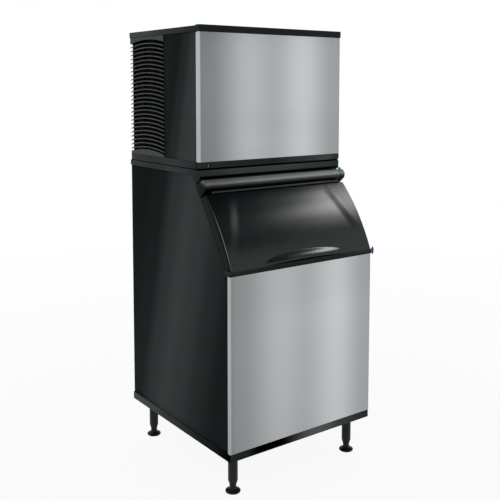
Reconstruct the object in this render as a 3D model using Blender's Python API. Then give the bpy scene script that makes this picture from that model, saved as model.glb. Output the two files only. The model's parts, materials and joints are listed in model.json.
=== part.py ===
# Ice cube machine: an ice-making head with a louvred side, on an insulated storage bin
# with a lift-up door. Metres, +Z up, front towards -Y, origin on the floor under the middle.
import math

import bmesh
import bpy
from mathutils import Matrix, Vector

# Driving sizes of the whole machine
WIDTH = 0.762
BIN_DEPTH = 0.820
BIN_HEIGHT = 1.152
HEAD_DEPTH = 0.594
HEAD_HEIGHT = 0.587
LEG_HEIGHT = 0.172
HEAD_SETBACK = 0.012

# Sheet, clearances and shared overruns
SHEET = 0.0015
GAP = 0.0003
RUNNING_GAP = 0.0008
OVERRUN = 0.030
PANEL_FLANGE = 0.012
PLAIN_MARGIN = 0.003
CREASE = math.radians(35)

# Planes that every part is placed from
HALF = WIDTH / 2
FRONT = -BIN_DEPTH / 2
REAR = BIN_DEPTH / 2
HEAD_REAR = REAR - HEAD_SETBACK
HEAD_FRONT = HEAD_REAR - HEAD_DEPTH
BASE_BOTTOM = LEG_HEIGHT
BIN_TOP = BASE_BOTTOM + BIN_HEIGHT
HEAD_BOTTOM = BIN_TOP + GAP
TOP = BIN_TOP + HEAD_HEIGHT

# Bin skins
SKIRT_HEIGHT = 0.028
SKIRT_WALL = 0.002
BIN_SIDE_INSET = 0.004
BIN_RETURN = 0.018
LEDGE_DROP = 0.382
LEDGE_HEIGHT = 0.020
LEDGE_PROUD = 0.003
LEDGE_WRAP = 0.036
LEDGE_GROOVE = 0.001
SILL_DEPTH = 0.037
SILL_SHEET = 0.004
LEDGE_TOP = BIN_TOP - LEDGE_DROP
LEDGE_BOTTOM = LEDGE_TOP - LEDGE_HEIGHT
SKIRT_TOP = BASE_BOTTOM + SKIRT_HEIGHT
TRAY_FLOOR = BASE_BOTTOM + SKIRT_WALL
SILL_BOTTOM = LEDGE_TOP - SILL_SHEET
BIN_REAR = REAR - SKIRT_WALL - GAP
BACK_FACE = BIN_REAR - SHEET - GAP

# Collar under the head
COLLAR_HEIGHT = 0.026
COLLAR_FRONT_HEIGHT = 0.032
COLLAR_RIM = 0.059
GUSSET_SETBACK = 0.066
COLLAR_BOTTOM = BIN_TOP - COLLAR_HEIGHT
GUSSET_REAR = HEAD_FRONT + GUSSET_SETBACK

# Sloped mouth: places are given along the slope, up from the ledge, and out from it
HEADER_DROP = 0.0643
SLOPE_FOOT = FRONT + SILL_DEPTH
SLOPE_ANGLE = math.atan2(COLLAR_BOTTOM - LEDGE_TOP, GUSSET_REAR - SLOPE_FOOT)
SLOPE_LENGTH = (LEDGE_DROP - HEADER_DROP) / math.sin(SLOPE_ANGLE)
MOUTH_SIDE = 0.055
MOUTH_START = 0.022
MOUTH_DROP = 0.0846
FRAME_DROP = 0.0666
FRAME_OUT = 0.006
MOUTH_END = SLOPE_LENGTH - MOUTH_DROP
FRAME_END = SLOPE_LENGTH - FRAME_DROP

# Inner tub and foam
TUB_WALL = 0.004
TUB_FRONT_FOAM = 0.052
TUB_REAR_FOAM = 0.048
TUB_FLOOR_FOAM = 0.058
TUB_FALL = 0.010
TUB_HEADER = 0.020
MOUTH_SINK = 0.005

# Hinge line of the door
HINGE_DROP = 0.0332
HINGE_OUT = 0.0509
BARREL_RADIUS = 0.0235
BARREL_WALL = 0.004
BARREL_END_WALL = 0.012
CAP_WIDTH = 0.030
CAP_FOOT = 0.003
CAP_CLEARANCE = 0.004
PIN_RADIUS = 0.006
PIN_LENGTH = 0.032
LEAF_DROP = 0.0084
BEAD_RADIUS = 0.0045
BEAD_CLEARANCE = 0.0015
BEAD_DROP = 0.0064
BEAD_INSET = 0.005
HINGE_ALONG = SLOPE_LENGTH - HINGE_DROP

# Door
DOOR_INSET = 0.004
DOOR_TOP_DROP = 0.0681
DOOR_TOP_OUT = 0.0400
DOOR_FOOT_OUT = 0.0350
DOOR_BULGE = 0.0170
DOOR_WALL = 0.0035
DOOR_BACK = 0.0075
DOOR_REST = 0.001
DISH_DEPTH = 0.009
DISH_RAMP = 0.040
DISH_MARGIN_TOP = 0.080
DISH_MARGIN_FOOT = 0.018
LIP_HALF = 0.210
LIP_HEIGHT = 0.062
LIP_OUT = 0.017
LIP_LIFT = 0.007
LIP_EDGE = 0.005
POCKET_RISE = 0.014
POCKET_DEPTH = 0.024
DOOR_TOP_ALONG = SLOPE_LENGTH - DOOR_TOP_DROP
DOOR_COLUMNS = 22
DOOR_ROW_SHARES = (0.0, 0.02, 0.04, 0.12, 0.24, 0.4, 0.56, 0.7, 0.8, 0.87, 0.92, 0.96, 1.0)

# Legs and feet
LEG_RADIUS = 0.020
LEG_NECK = 0.0125
LEG_NECK_LENGTH = 0.0244
LEG_TAPER = 0.022
LEG_INSET_X = 0.0643
LEG_INSET_FRONT = 0.0756
LEG_INSET_REAR = 0.0809
FOOT_RADIUS = 0.032
FOOT_EDGE = 0.006
FOOT_HEIGHT = 0.017
STUD_RADIUS = 0.0075
STUD_ROOM = 0.043
LEG_FLANGE = 0.030
LEG_FLANGE_HEIGHT = 0.004

# Head skins
HEAD_TRIM = 0.031
HEAD_COVER = 0.025
HEAD_RETURN = 0.037
HEAD_SIDE_INSET = 0.002
TRIM_WALL = 0.003
TRIM_LIP = 0.010
TRIM_SHADOW = 0.003
TRIM_JOINT = 0.0022
COVER_OVERHANG = 0.003
COVER_WALL = 0.006
COVER_SKIN = 0.0025
SCREW_INSET = 0.045
SCREW_HEAD = 0.006
SCREW_HEAD_HEIGHT = 0.003
SCREW_SHANK = 0.0025
SCREW_LENGTH = 0.012
SCREW_HOLE = SCREW_SHANK + GAP
TRIM_TOP = BIN_TOP + HEAD_TRIM
PANEL_BOTTOM = TRIM_TOP + GAP
COVER_BOTTOM = TOP - HEAD_COVER
PANEL_TOP = COVER_BOTTOM - GAP
RETURN_END = HEAD_FRONT + HEAD_RETURN
FLOOR_TOP = HEAD_BOTTOM + TRIM_WALL
FLOOR_SEAT = FLOOR_TOP + GAP
INNER_CLEARANCE = 0.0134
INNER_HEIGHT = COVER_BOTTOM - INNER_CLEARANCE - FLOOR_SEAT

# Louvre grille
GRILLE_LENGTH = 0.306
GRILLE_PROUD = 0.001
GRILLE_DEPTH = 0.021
GRILLE_HEADER = 0.0150
GRILLE_SILL = 0.029
ARCH_RISE = 0.013
BLADE_COUNT = 26
BLADE_THICKNESS = 0.0035
BLADE_DEPTH = 0.012
BLADE_LIFT = 0.006
BLADE_SEGMENTS = 6
STILE_SETBACK = 0.010
STILE_WIDTH = 0.010
RIB_WIDTH = 0.005
RIB_SHARES = (1 / 3, 2 / 3)
GRILLE_FRONT = HEAD_REAR - GRILLE_LENGTH

# Cold side of the head
PARTITION_SETBACK = 0.310
PARTITION_WALL = 0.004
PARTITION_CLEARANCE = 0.007
EVAPORATOR_WIDTH = 0.340
EVAPORATOR_HEADROOM = 0.0093
EVAPORATOR_CLEARANCE = 0.071
EVAPORATOR_BOTTOM = 0.140
EVAPORATOR_PLATE = 0.006
EVAPORATOR_SETBACK = 0.026
EVAPORATOR_POST = 0.007
CUBE_DEPTH = 0.022
CUBE_WALL = 0.003
CUBE_COLUMNS = 7
CUBE_ROWS = 7
ARM_SHEET = 0.004
ARM_REACH = 0.045
ARM_HEIGHT = 0.036
CURTAIN_SHEET = 0.004
CURTAIN_AHEAD = 0.036
CURTAIN_RISE = 0.022
CURTAIN_SHORT = 0.002
CURTAIN_PIN = 0.0035
TUBE_RADIUS = 0.009
TROUGH_DEPTH = 0.052
TROUGH_HEIGHT = 0.060
TROUGH_WALL = 0.003
TROUGH_DROP = 0.012
PUMP_RADIUS = 0.022
PUMP_HEIGHT = 0.090
PUMP_CLEARANCE = 0.021
PUMP_VOLUTE = 0.024
PUMP_VOLUTE_HEIGHT = 0.040
HOSE_RADIUS = 0.006
DROP_LEFT_REACH = 0.070
DROP_RIGHT_REACH = 0.010
DROP_FRONT_REACH = 0.076
DROP_REAR_REACH = 0.058
PARTITION_Y = HEAD_REAR - PARTITION_SETBACK
DROP_FRONT = HEAD_FRONT + DROP_FRONT_REACH
DROP_REAR = PARTITION_Y - DROP_REAR_REACH
EVAPORATOR_HEIGHT = INNER_HEIGHT + GAP - EVAPORATOR_BOTTOM - ARM_HEIGHT - EVAPORATOR_HEADROOM
CURTAIN_DROP = EVAPORATOR_HEIGHT + CURTAIN_RISE - CURTAIN_SHORT
EVAPORATOR_RIGHT = HALF - EVAPORATOR_CLEARANCE
EVAPORATOR_LEFT = EVAPORATOR_RIGHT - EVAPORATOR_WIDTH
EVAPORATOR_CENTRE = (EVAPORATOR_LEFT + EVAPORATOR_RIGHT) / 2
DROP_LEFT = EVAPORATOR_LEFT - DROP_LEFT_REACH
DROP_RIGHT = EVAPORATOR_RIGHT + DROP_RIGHT_REACH
PUMP_X = EVAPORATOR_LEFT - TROUGH_DROP - PUMP_CLEARANCE - PUMP_VOLUTE
PARTITION_X = PUMP_X - PUMP_VOLUTE - PARTITION_CLEARANCE

# Hot side of the head
COIL_SETBACK = 0.024
COIL_DEPTH = 0.050
COIL_CLEARANCE = 0.008
COIL_REAR_CLEARANCE = 0.015
FIN_PITCH = 0.0105
FIN_SLOT = 0.005
FIN_CUT = 0.010
SHROUD_GAP = 0.002
SHROUD_SHEET = 0.002
SHROUD_INSET = 0.028
SHROUD_RIM = 0.0055
SHROUD_RING = 0.003
SHROUD_REACH = 0.028
FAN_TIP_CLEARANCE = 0.006
FAN_HUB = 0.028
FAN_HUB_LENGTH = 0.022
FAN_BORE = 0.0045
FAN_SHEET = 0.003
FAN_CHORD = 0.060
FAN_PITCH = math.radians(28)
FAN_BLADES = 5
FAN_AHEAD = 0.012
MOTOR_RADIUS = 0.038
MOTOR_LENGTH = 0.070
MOTOR_GAP = 0.006
SHAFT_RADIUS = 0.004
STRAP_WIDTH = 0.040
STRAP_SHEET = 0.004
COMPRESSOR_INSET = 0.251
COMPRESSOR_SETBACK = 0.158
COMPRESSOR_RADIUS = 0.085
COMPRESSOR_HEIGHT = 0.230
COMPRESSOR_FLANGE = 0.004
FOOT_REACH = 0.015
TRAY_HEIGHT = 0.022
TRAY_MARGIN = 0.005
TRAY_SHEET = 0.003
RECEIVER_INSET = 0.058
RECEIVER_SETBACK = 0.068
RECEIVER_RADIUS = 0.030
RECEIVER_HEIGHT = 0.200
PIPE_RADIUS = 0.005
PIPE_BEND = 0.025
PIPE_SIDES = 8
PIPE_HOLE = 0.008
PIPE_HIGH = 0.495
PIPE_MIDDLE = 0.400
COIL_FRONT = PARTITION_Y + PARTITION_WALL + COIL_CLEARANCE
COIL_REAR = HEAD_REAR - COIL_REAR_CLEARANCE
SHROUD_REAR = COIL_REAR - SHROUD_INSET
SHROUD_BORE = (SHROUD_REAR - COIL_FRONT) / 2 - SHROUD_RIM
FAN_RADIUS = SHROUD_BORE - FAN_TIP_CLEARANCE
COMPRESSOR_X = HALF - COMPRESSOR_INSET
COMPRESSOR_FOOT = COMPRESSOR_RADIUS + FOOT_REACH
TRAY_HALF = COMPRESSOR_FOOT + TRAY_MARGIN
RECEIVER_X = PARTITION_X + RECEIVER_INSET
COMPRESSOR_Y = HEAD_REAR - COMPRESSOR_SETBACK
RECEIVER_Y = HEAD_REAR - RECEIVER_SETBACK

# Control box and water inlet
BOX_CLEARANCE = 0.0292
BOX_DEPTH = 0.140
BOX_HEIGHT = 0.360
BOX_BOTTOM = 0.120
BOX_SHEET = 0.002
BOX_SETBACK = 0.048
SWITCH_INSET = 0.070
SWITCH_RADIUS = 0.004
SWITCH_REACH = 0.018
SWITCH_BUSH = 0.010
VALVE_INSET = 0.091
VALVE_RISE = 0.430
VALVE_BODY = 0.022
VALVE_LENGTH = 0.045
NIPPLE_RADIUS = 0.010
NIPPLE_BORE = 0.006
NIPPLE_REACH = 0.022
NIPPLE_FLANGE = 0.018
FLANGE_SHEET = 0.003
SLOT_HEIGHT = 0.008
SLOT_WIDTH = 0.200
SLOT_PITCH = 0.036
SLOT_ROWS = 8
SLOT_START = 0.150
DRAIN_RISE = 0.030
BOX_RIGHT = PARTITION_X - BOX_CLEARANCE
VALVE_X = HALF - VALVE_INSET

# Small trims
PLUG_NECK = 0.0068
PLUG_REACH = 0.0137
PLUG_INSET = 0.008
PLUG_HEIGHT = 0.0175
PLUG_DEPTH = 0.009
PLUG_SHEET = 0.004
PLUG_EDGE_SHARE = 0.85
TAB_WIDTH = 0.010
TAB_HEIGHT = 0.008
TAB_DEPTH = 0.012
TAB_INSET = 0.010
BAFFLE_DROP = 0.008
BAFFLE_LENGTH = 0.102
BAFFLE_SINK = 0.030
INNER_PANEL_SHEET = 0.003
INNER_PANEL_RIM = 0.030
INNER_PANEL_PAN = 0.012
INNER_PANEL_SIDE = 0.010
GASKET_WIDTH = 0.014
ROUND_SEGMENTS = 24
SMALL_SEGMENTS = 16
BAFFLE_END = MOUTH_END - BAFFLE_DROP
BAFFLE_START = BAFFLE_END - BAFFLE_LENGTH


# Paints, each with its own colour, roughness and metallic value
def paint(name, colour, roughness, metallic=0.0):
    made = bpy.data.materials.new(name)
    made.use_nodes = True
    shader = made.node_tree.nodes["Principled BSDF"]
    shader.inputs["Base Color"].default_value = (*colour, 1.0)
    shader.inputs["Roughness"].default_value = roughness
    shader.inputs["Metallic"].default_value = metallic
    made.diffuse_color = (*colour, 1.0)
    return made


def clear_scene():
    for thing in list(bpy.data.objects):
        bpy.data.objects.remove(thing, do_unlink=True)


# A mesh object from a bmesh drawn in world places, with its origin at the given point
def piece(name, bm, skin, origin=(0.0, 0.0, 0.0)):
    bmesh.ops.recalc_face_normals(bm, faces=bm.faces)
    bmesh.ops.translate(bm, verts=bm.verts, vec=-Vector(origin))
    mesh = bpy.data.meshes.new(name)
    bm.to_mesh(mesh)
    bm.free()
    mesh.materials.append(skin)
    mesh.shade_smooth()
    mesh.set_sharp_from_angle(angle=CREASE)
    made = bpy.data.objects.new(name, mesh)
    made.location = origin
    bpy.context.scene.collection.objects.link(made)
    return made


# Keep the evaluated mesh of an object and drop its modifiers
def settle(thing):
    graph = bpy.context.evaluated_depsgraph_get()
    mesh = bpy.data.meshes.new_from_object(thing.evaluated_get(graph))
    mesh.set_sharp_from_angle(angle=CREASE)
    thing.modifiers.clear()
    thing.data = mesh
    return thing


def combine(target, tool_bm, operation):
    tool = piece(target.name + "_tool", tool_bm, target.data.materials[0])
    tool.hide_render = True
    tool.display_type = "WIRE"
    change = target.modifiers.new(operation, "BOOLEAN")
    change.solver = "EXACT"
    change.operation = operation
    change.object = tool
    settle(target)
    bpy.data.objects.remove(tool, do_unlink=True)
    return target


def cut(target, tool_bm):
    return combine(target, tool_bm, "DIFFERENCE")


def join(target, tool_bm):
    return combine(target, tool_bm, "UNION")


def thicken(target, thickness, side):
    shell = target.modifiers.new("sheet", "SOLIDIFY")
    shell.thickness = thickness
    shell.offset = side
    shell.use_even_offset = True
    return settle(target)


# Skin a row of closed rings, capped at both ends unless the row closes on itself
def loft(bm, rings, ring_closed=True, row_closed=False, caps=True):
    rows = [[bm.verts.new(point) for point in ring] for ring in rings]
    pairs = list(zip(rows, rows[1:]))
    if row_closed:
        pairs.append((rows[-1], rows[0]))
    for low, high in pairs:
        steps = len(low) if ring_closed else len(low) - 1
        for index in range(steps):
            following = (index + 1) % len(low)
            bm.faces.new((low[index], low[following], high[following], high[index]))
    if caps and not row_closed:
        bm.faces.new(rows[0])
        bm.faces.new(rows[-1])
    return bm


# Place a flat point on the plane across an axis
def across(axis, along, first, second):
    if axis == "X":
        return (along, first, second)
    if axis == "Y":
        return (first, along, second)
    return (first, second, along)


def prism(bm, outline, axis, low, high):
    return loft(bm, [[across(axis, along, *point) for point in outline] for along in (low, high)])


def block(bm, x_range, y_range, z_range):
    corners = [
        (x_range[0], y_range[0]),
        (x_range[1], y_range[0]),
        (x_range[1], y_range[1]),
        (x_range[0], y_range[1]),
    ]
    return prism(bm, corners, "Z", *z_range)


def circle(centre, radius, count, start=0.0):
    turn = 2 * math.pi / count
    return [
        (centre[0] + radius * math.cos(start + turn * step), centre[1] + radius * math.sin(start + turn * step))
        for step in range(count)
    ]


def rod(bm, centre, radius, axis, low, high, count=SMALL_SEGMENTS):
    return prism(bm, circle(centre, radius, count), axis, low, high)


# Turn a profile of (radius, height) about an axis through a centre given across that axis
def turned(bm, profile, axis, centre, count=ROUND_SEGMENTS, closed=False):
    rings = []
    for radius, height in profile:
        rings.append([across(axis, height, *point) for point in circle(centre, radius, count)])
    return loft(bm, rings, row_closed=closed)


# Sweep a profile of (outward, height) round the front and both front corners
def wrap_strip(bm, profile, half_width, front, back):
    rings = []
    for side, at_corner in ((-1, False), (-1, True), (1, True), (1, False)):
        ring = []
        for outward, height in profile:
            depth = front - outward if at_corner else back
            ring.append((side * (half_width + outward), depth, height))
        rings.append(ring)
    return loft(bm, rings)


# Round the corners of a route with arcs of the given radius
def rounded_route(corners, radius, steps=4):
    points = [Vector(corners[0])]
    for before, corner, after in zip(corners, corners[1:], corners[2:]):
        corner = Vector(corner)
        towards = (Vector(before) - corner).normalized()
        away = (Vector(after) - corner).normalized()
        half_angle = towards.angle(away) / 2
        tangent = radius / math.tan(half_angle)
        centre = corner + (towards + away).normalized() * (radius / math.sin(half_angle))
        start = (corner + towards * tangent - centre).normalized()
        finish = (corner + away * tangent - centre).normalized()
        for step in range(steps + 1):
            points.append(centre + start.slerp(finish, step / steps) * radius)
    points.append(Vector(corners[-1]))
    return points


def pipe(bm, corners, radius, bend=PIPE_BEND, sides=PIPE_SIDES):
    route = rounded_route(corners, bend)
    heading = (route[1] - route[0]).normalized()
    side = heading.orthogonal().normalized()
    rings = []
    for index, point in enumerate(route):
        before = route[max(index - 1, 0)]
        after = route[min(index + 1, len(route) - 1)]
        turned_heading = (after - before).normalized()
        side = (side - turned_heading * side.dot(turned_heading)).normalized()
        other = turned_heading.cross(side)
        rings.append([point + side * a + other * b for a, b in circle((0.0, 0.0), radius, sides)])
    return loft(bm, rings)


# Move the sides of a closed outline inwards (outwards when negative), each by its own distance
def inset_outline(outline, distances):
    sides = list(zip(outline, outline[1:] + outline[:1]))
    area = sum(start[0] * end[1] - end[0] * start[1] for start, end in sides) / 2
    turn = 1 if area > 0 else -1
    lines = []
    for (start, end), distance in zip(sides, distances):
        heading = (Vector(end) - Vector(start)).normalized()
        normal = Vector((-heading.y, heading.x)) * turn
        lines.append((Vector(start) + normal * distance, heading))
    moved = []
    for (start, heading), (following, onward) in zip(lines[-1:] + lines[:-1], lines):
        reach = (following - start).cross(onward) / heading.cross(onward)
        moved.append(tuple(start + heading * reach))
    return moved


# A folded sheet across X: a flat outline with flanges turned inwards except on the plain sides
def folded_panel(name, outline, outer, inward, plain_sides, skin):
    flange = outer + inward * PANEL_FLANGE
    x_range = sorted((outer, flange))
    made = piece(name, prism(bmesh.new(), outline, "X", *x_range), skin)
    distances = [-PLAIN_MARGIN if side in plain_sides else SHEET for side in range(len(outline))]
    hollow = inset_outline(outline, distances)
    x_range = sorted((outer + inward * SHEET, flange + inward * PLAIN_MARGIN))
    return cut(made, prism(bmesh.new(), hollow, "X", *x_range))


# A place given along the sloped mouth, up from the ledge, and out from it
def on_slope(along, out):
    depth = SLOPE_FOOT + along * math.cos(SLOPE_ANGLE) - out * math.sin(SLOPE_ANGLE)
    height = LEDGE_TOP + along * math.sin(SLOPE_ANGLE) + out * math.cos(SLOPE_ANGLE)
    return depth, height


# The same place, from a flat outline of (X, along) drawn at a distance out from the slope
def slope_prism(bm, outline, low, high):
    rings = []
    for out in (low, high):
        rings.append([(x, *on_slope(along, out)) for x, along in outline])
    return loft(bm, rings)


# Distance along the slope at which a height is met, at a distance out from it
def along_at_height(height, out):
    return (height - LEDGE_TOP - out * math.cos(SLOPE_ANGLE)) / math.sin(SLOPE_ANGLE)


# Places shared by several pieces
SCREW_AXIS = (HEAD_BOTTOM + TRIM_TOP) / 2
GASKET_RISE = GASKET_WIDTH / 2
DRAIN_AXIS = TRAY_FLOOR + TUB_FLOOR_FOAM + DRAIN_RISE
DRAIN_HOLE = NIPPLE_RADIUS + GAP
HINGE = (0.0, *on_slope(HINGE_ALONG, HINGE_OUT))
BEAD_ALONG = DOOR_TOP_ALONG + BEAD_CLEARANCE + BEAD_RADIUS
BEAD_LEVEL = HINGE_OUT - BEAD_DROP
EVAPORATOR_FRONT = PARTITION_Y - EVAPORATOR_SETBACK - EVAPORATOR_PLATE - CUBE_DEPTH
EVAPORATOR_TOP = FLOOR_TOP + EVAPORATOR_BOTTOM + EVAPORATOR_HEIGHT
CURTAIN_AXIS = (EVAPORATOR_CENTRE, EVAPORATOR_FRONT - CURTAIN_AHEAD, EVAPORATOR_TOP + CURTAIN_RISE)
PUMP_BOTTOM = FLOOR_TOP + EVAPORATOR_BOTTOM - TROUGH_DROP - TROUGH_HEIGHT
SUCTION_START = (EVAPORATOR_CENTRE + EVAPORATOR_WIDTH / 4, EVAPORATOR_TOP - EVAPORATOR_HEIGHT / 4)
LIQUID_END = (EVAPORATOR_CENTRE - EVAPORATOR_WIDTH / 4, FLOOR_TOP + PIPE_MIDDLE)
SHROUD_X = -HALF + COIL_SETBACK + COIL_DEPTH + SHROUD_GAP
FAN_AXIS = (SHROUD_X + SHROUD_SHEET + FAN_AHEAD, (COIL_FRONT + SHROUD_REAR) / 2, FLOOR_SEAT + INNER_HEIGHT / 2)
SWITCH_AXIS = (
    BOX_RIGHT - SWITCH_INSET,
    HEAD_FRONT + BOX_SETBACK - SWITCH_BUSH / 2,
    FLOOR_TOP + BOX_BOTTOM + BOX_HEIGHT - SWITCH_INSET,
)


# Side outline of the bin between a bottom, a front and a rear, with its sloped mouth
def bin_outline(bottom, front, rear):
    sill = SILL_BOTTOM - GAP
    return [
        (front, bottom),
        (rear, bottom),
        (rear, COLLAR_BOTTOM - GAP),
        (GUSSET_REAR, COLLAR_BOTTOM - GAP),
        on_slope(along_at_height(sill, 0.0), 0.0),
        (front, sill),
    ]


def make_bin_side(name, side, skin):
    outline = bin_outline(TRAY_FLOOR + GAP, FRONT + BIN_RETURN + GAP, BIN_REAR)
    return folded_panel(name, outline, side * (HALF - BIN_SIDE_INSET), -side, (3, 5), skin)


def make_bin_back(skin):
    low = TRAY_FLOOR + GAP + SHEET + GAP
    high = COLLAR_BOTTOM - GAP - SHEET - GAP
    edge = HALF - BIN_SIDE_INSET - SHEET - GAP
    y_range = (BACK_FACE - SHEET, BACK_FACE)
    made = piece("bin_back_panel", block(bmesh.new(), (-edge, edge), y_range, (low, high)), skin)
    through = (BACK_FACE - OVERRUN, BACK_FACE + OVERRUN)
    return cut(made, rod(bmesh.new(), (0.0, DRAIN_AXIS), DRAIN_HOLE, "Y", *through))


def make_bin_front(skin):
    low = SKIRT_TOP + GAP
    high = LEDGE_BOTTOM - GAP
    profile = [(0.0, low), (0.0, high), (-SHEET, high), (-SHEET, low)]
    bm = wrap_strip(bmesh.new(), profile, HALF, FRONT, FRONT + BIN_RETURN)
    return piece("bin_front_panel", bm, skin)


def make_base_frame(skin):
    setback = FRONT + SKIRT_WALL
    bm = block(bmesh.new(), (-HALF, HALF), (setback, REAR), (BASE_BOTTOM, SKIRT_TOP))
    made = piece("bin_base_frame", bm, skin)
    inner = HALF - SKIRT_WALL
    hollow = block(
        bmesh.new(),
        (-inner, inner),
        (setback + SKIRT_WALL, REAR - SKIRT_WALL),
        (TRAY_FLOOR, SKIRT_TOP + OVERRUN),
    )
    cut(made, hollow)
    return made


# Inner face of the tub in side view, with its mouth edge and its open top
def tub_outline():
    front = FRONT + TUB_FRONT_FOAM
    rear = REAR - TUB_REAR_FOAM
    floor = TRAY_FLOOR + TUB_FLOOR_FOAM
    top = COLLAR_BOTTOM - GAP
    return [
        (front, floor + TUB_FALL),
        (rear, floor),
        (rear, top),
        (GUSSET_REAR + TUB_HEADER, top),
        on_slope(MOUTH_END, -MOUTH_SINK),
        on_slope(MOUTH_START, -MOUTH_SINK),
    ]


# Moulded tub, open at its top, at the sloped mouth and where its front wall is fitted
def make_liner(skin):
    outline = tub_outline()
    open_sides = (2, 4, 5)
    walls = [0.0 if side in open_sides else -TUB_WALL for side in range(len(outline))]
    walls[-1] = GAP
    margins = [-PLAIN_MARGIN if side in open_sides else 0.0 for side in range(len(outline))]
    half = HALF - MOUTH_SIDE
    outer = half + TUB_WALL
    made = piece("bin_liner", prism(bmesh.new(), inset_outline(outline, walls), "X", -outer, outer), skin)
    cut(made, prism(bmesh.new(), inset_outline(outline, margins), "X", -half, half))
    rear = REAR - TUB_REAR_FOAM
    return cut(made, rod(bmesh.new(), (0.0, DRAIN_AXIS), DRAIN_HOLE, "Y", rear - OVERRUN, rear + OVERRUN))


# Front wall of the tub, a plate that closes the ends of its floor and sides
def make_liner_front(skin):
    outline = tub_outline()
    floor_wall = [-TUB_WALL] + [0.0] * (len(outline) - 2)
    outside = inset_outline(outline, floor_wall + [-TUB_WALL])
    inside = inset_outline(outline, floor_wall + [0.0])
    strip = [outside[-1], outside[0], inside[0], inside[-1]]
    outer = HALF - MOUTH_SIDE + TUB_WALL
    return piece("bin_liner_front", prism(bmesh.new(), strip, "X", -outer, outer), skin)


def make_insulation(skin):
    front = FRONT + SKIRT_WALL * 2 - SHEET
    outline = bin_outline(TRAY_FLOOR + GAP, front, BACK_FACE)
    outline = inset_outline(outline, [SHEET + GAP] * len(outline))
    edge = HALF - BIN_SIDE_INSET - SHEET - GAP
    made = piece("bin_insulation", prism(bmesh.new(), outline, "X", -edge, edge), skin)
    clear = TUB_WALL + GAP
    half = HALF - MOUTH_SIDE + clear
    hollow = tub_outline()
    hollow = inset_outline(hollow, [-clear] * len(hollow))
    cut(made, prism(bmesh.new(), hollow, "X", -half, half))
    low = MOUTH_START - clear
    high = MOUTH_END + clear
    passage = [(-half, low), (half, low), (half, high), (-half, high)]
    cut(made, slope_prism(bmesh.new(), passage, -MOUTH_SINK - clear, OVERRUN))
    rear = REAR - TUB_REAR_FOAM
    return cut(made, rod(bmesh.new(), (0.0, DRAIN_AXIS), DRAIN_HOLE, "Y", rear - OVERRUN, REAR + OVERRUN))


# Breaker frame on the slope, notched for the hinge caps, with the sill behind the ledge trim
def make_mouth_frame(skin):
    edge = HALF - BIN_SIDE_INSET - SHEET
    neck = HALF - CAP_WIDTH - RUNNING_GAP
    foot = -SILL_SHEET
    header = SLOPE_LENGTH - SILL_SHEET
    outline = [
        (-edge, foot),
        (edge, foot),
        (edge, FRAME_END),
        (neck, FRAME_END),
        (neck, header),
        (-neck, header),
        (-neck, FRAME_END),
        (-edge, FRAME_END),
    ]
    made = piece("bin_mouth_frame", slope_prism(bmesh.new(), outline, GAP, FRAME_OUT), skin)
    front = FRONT + LEDGE_PROUD + GAP
    behind = GAP * 2
    sill = [
        (front, SILL_BOTTOM),
        on_slope(along_at_height(SILL_BOTTOM, behind), behind),
        on_slope(along_at_height(LEDGE_TOP, behind), behind),
        (front, LEDGE_TOP),
    ]
    join(made, prism(bmesh.new(), sill, "X", -edge, edge))
    half = HALF - MOUTH_SIDE
    opening = [(-half, MOUTH_START), (half, MOUTH_START), (half, MOUTH_END), (-half, MOUTH_END)]
    return cut(made, slope_prism(bmesh.new(), opening, -OVERRUN, OVERRUN))


def make_top_frame(skin):
    low = COLLAR_BOTTOM
    bm = block(bmesh.new(), (-HALF, HALF), (HEAD_FRONT + COLLAR_FRONT_HEIGHT, REAR), (low, BIN_TOP))
    made = piece("bin_top_frame", bm, skin)
    inner = HALF - COLLAR_RIM
    hole_front = GUSSET_REAR + TUB_HEADER + TUB_WALL
    hole_rear = REAR - TUB_REAR_FOAM - TUB_WALL
    z_range = (low - OVERRUN, BIN_TOP + OVERRUN)
    cut(made, block(bmesh.new(), (-inner, inner), (hole_front, hole_rear), z_range))
    header = [
        (HEAD_FRONT, BIN_TOP - COLLAR_FRONT_HEIGHT),
        on_slope(SLOPE_LENGTH, GAP * 2),
        (GUSSET_REAR - GAP, COLLAR_BOTTOM),
        (GUSSET_REAR - GAP, BIN_TOP),
        (HEAD_FRONT, BIN_TOP),
    ]
    return join(made, prism(bmesh.new(), header, "X", -HALF, HALF))


def make_ledge_trim(skin):
    groove = LEDGE_HEIGHT / 5
    face = LEDGE_PROUD
    profile = [
        (face - LEDGE_GROOVE, LEDGE_BOTTOM),
        (face, LEDGE_BOTTOM + groove / 2),
        (face, LEDGE_BOTTOM + groove),
        (face - LEDGE_GROOVE, LEDGE_BOTTOM + groove * 3 / 2),
        (face, LEDGE_BOTTOM + groove * 2),
        (face, LEDGE_BOTTOM + groove * 3),
        (face - LEDGE_GROOVE, LEDGE_BOTTOM + groove * 7 / 2),
        (face, LEDGE_BOTTOM + groove * 4),
        (face - LEDGE_GROOVE, LEDGE_TOP),
        (-LEDGE_PROUD, LEDGE_TOP),
        (-LEDGE_PROUD, LEDGE_BOTTOM),
    ]
    bm = wrap_strip(bmesh.new(), profile, HALF, FRONT, FRONT - LEDGE_PROUD + LEDGE_WRAP)
    return piece("front_ledge_trim", bm, skin)


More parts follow.
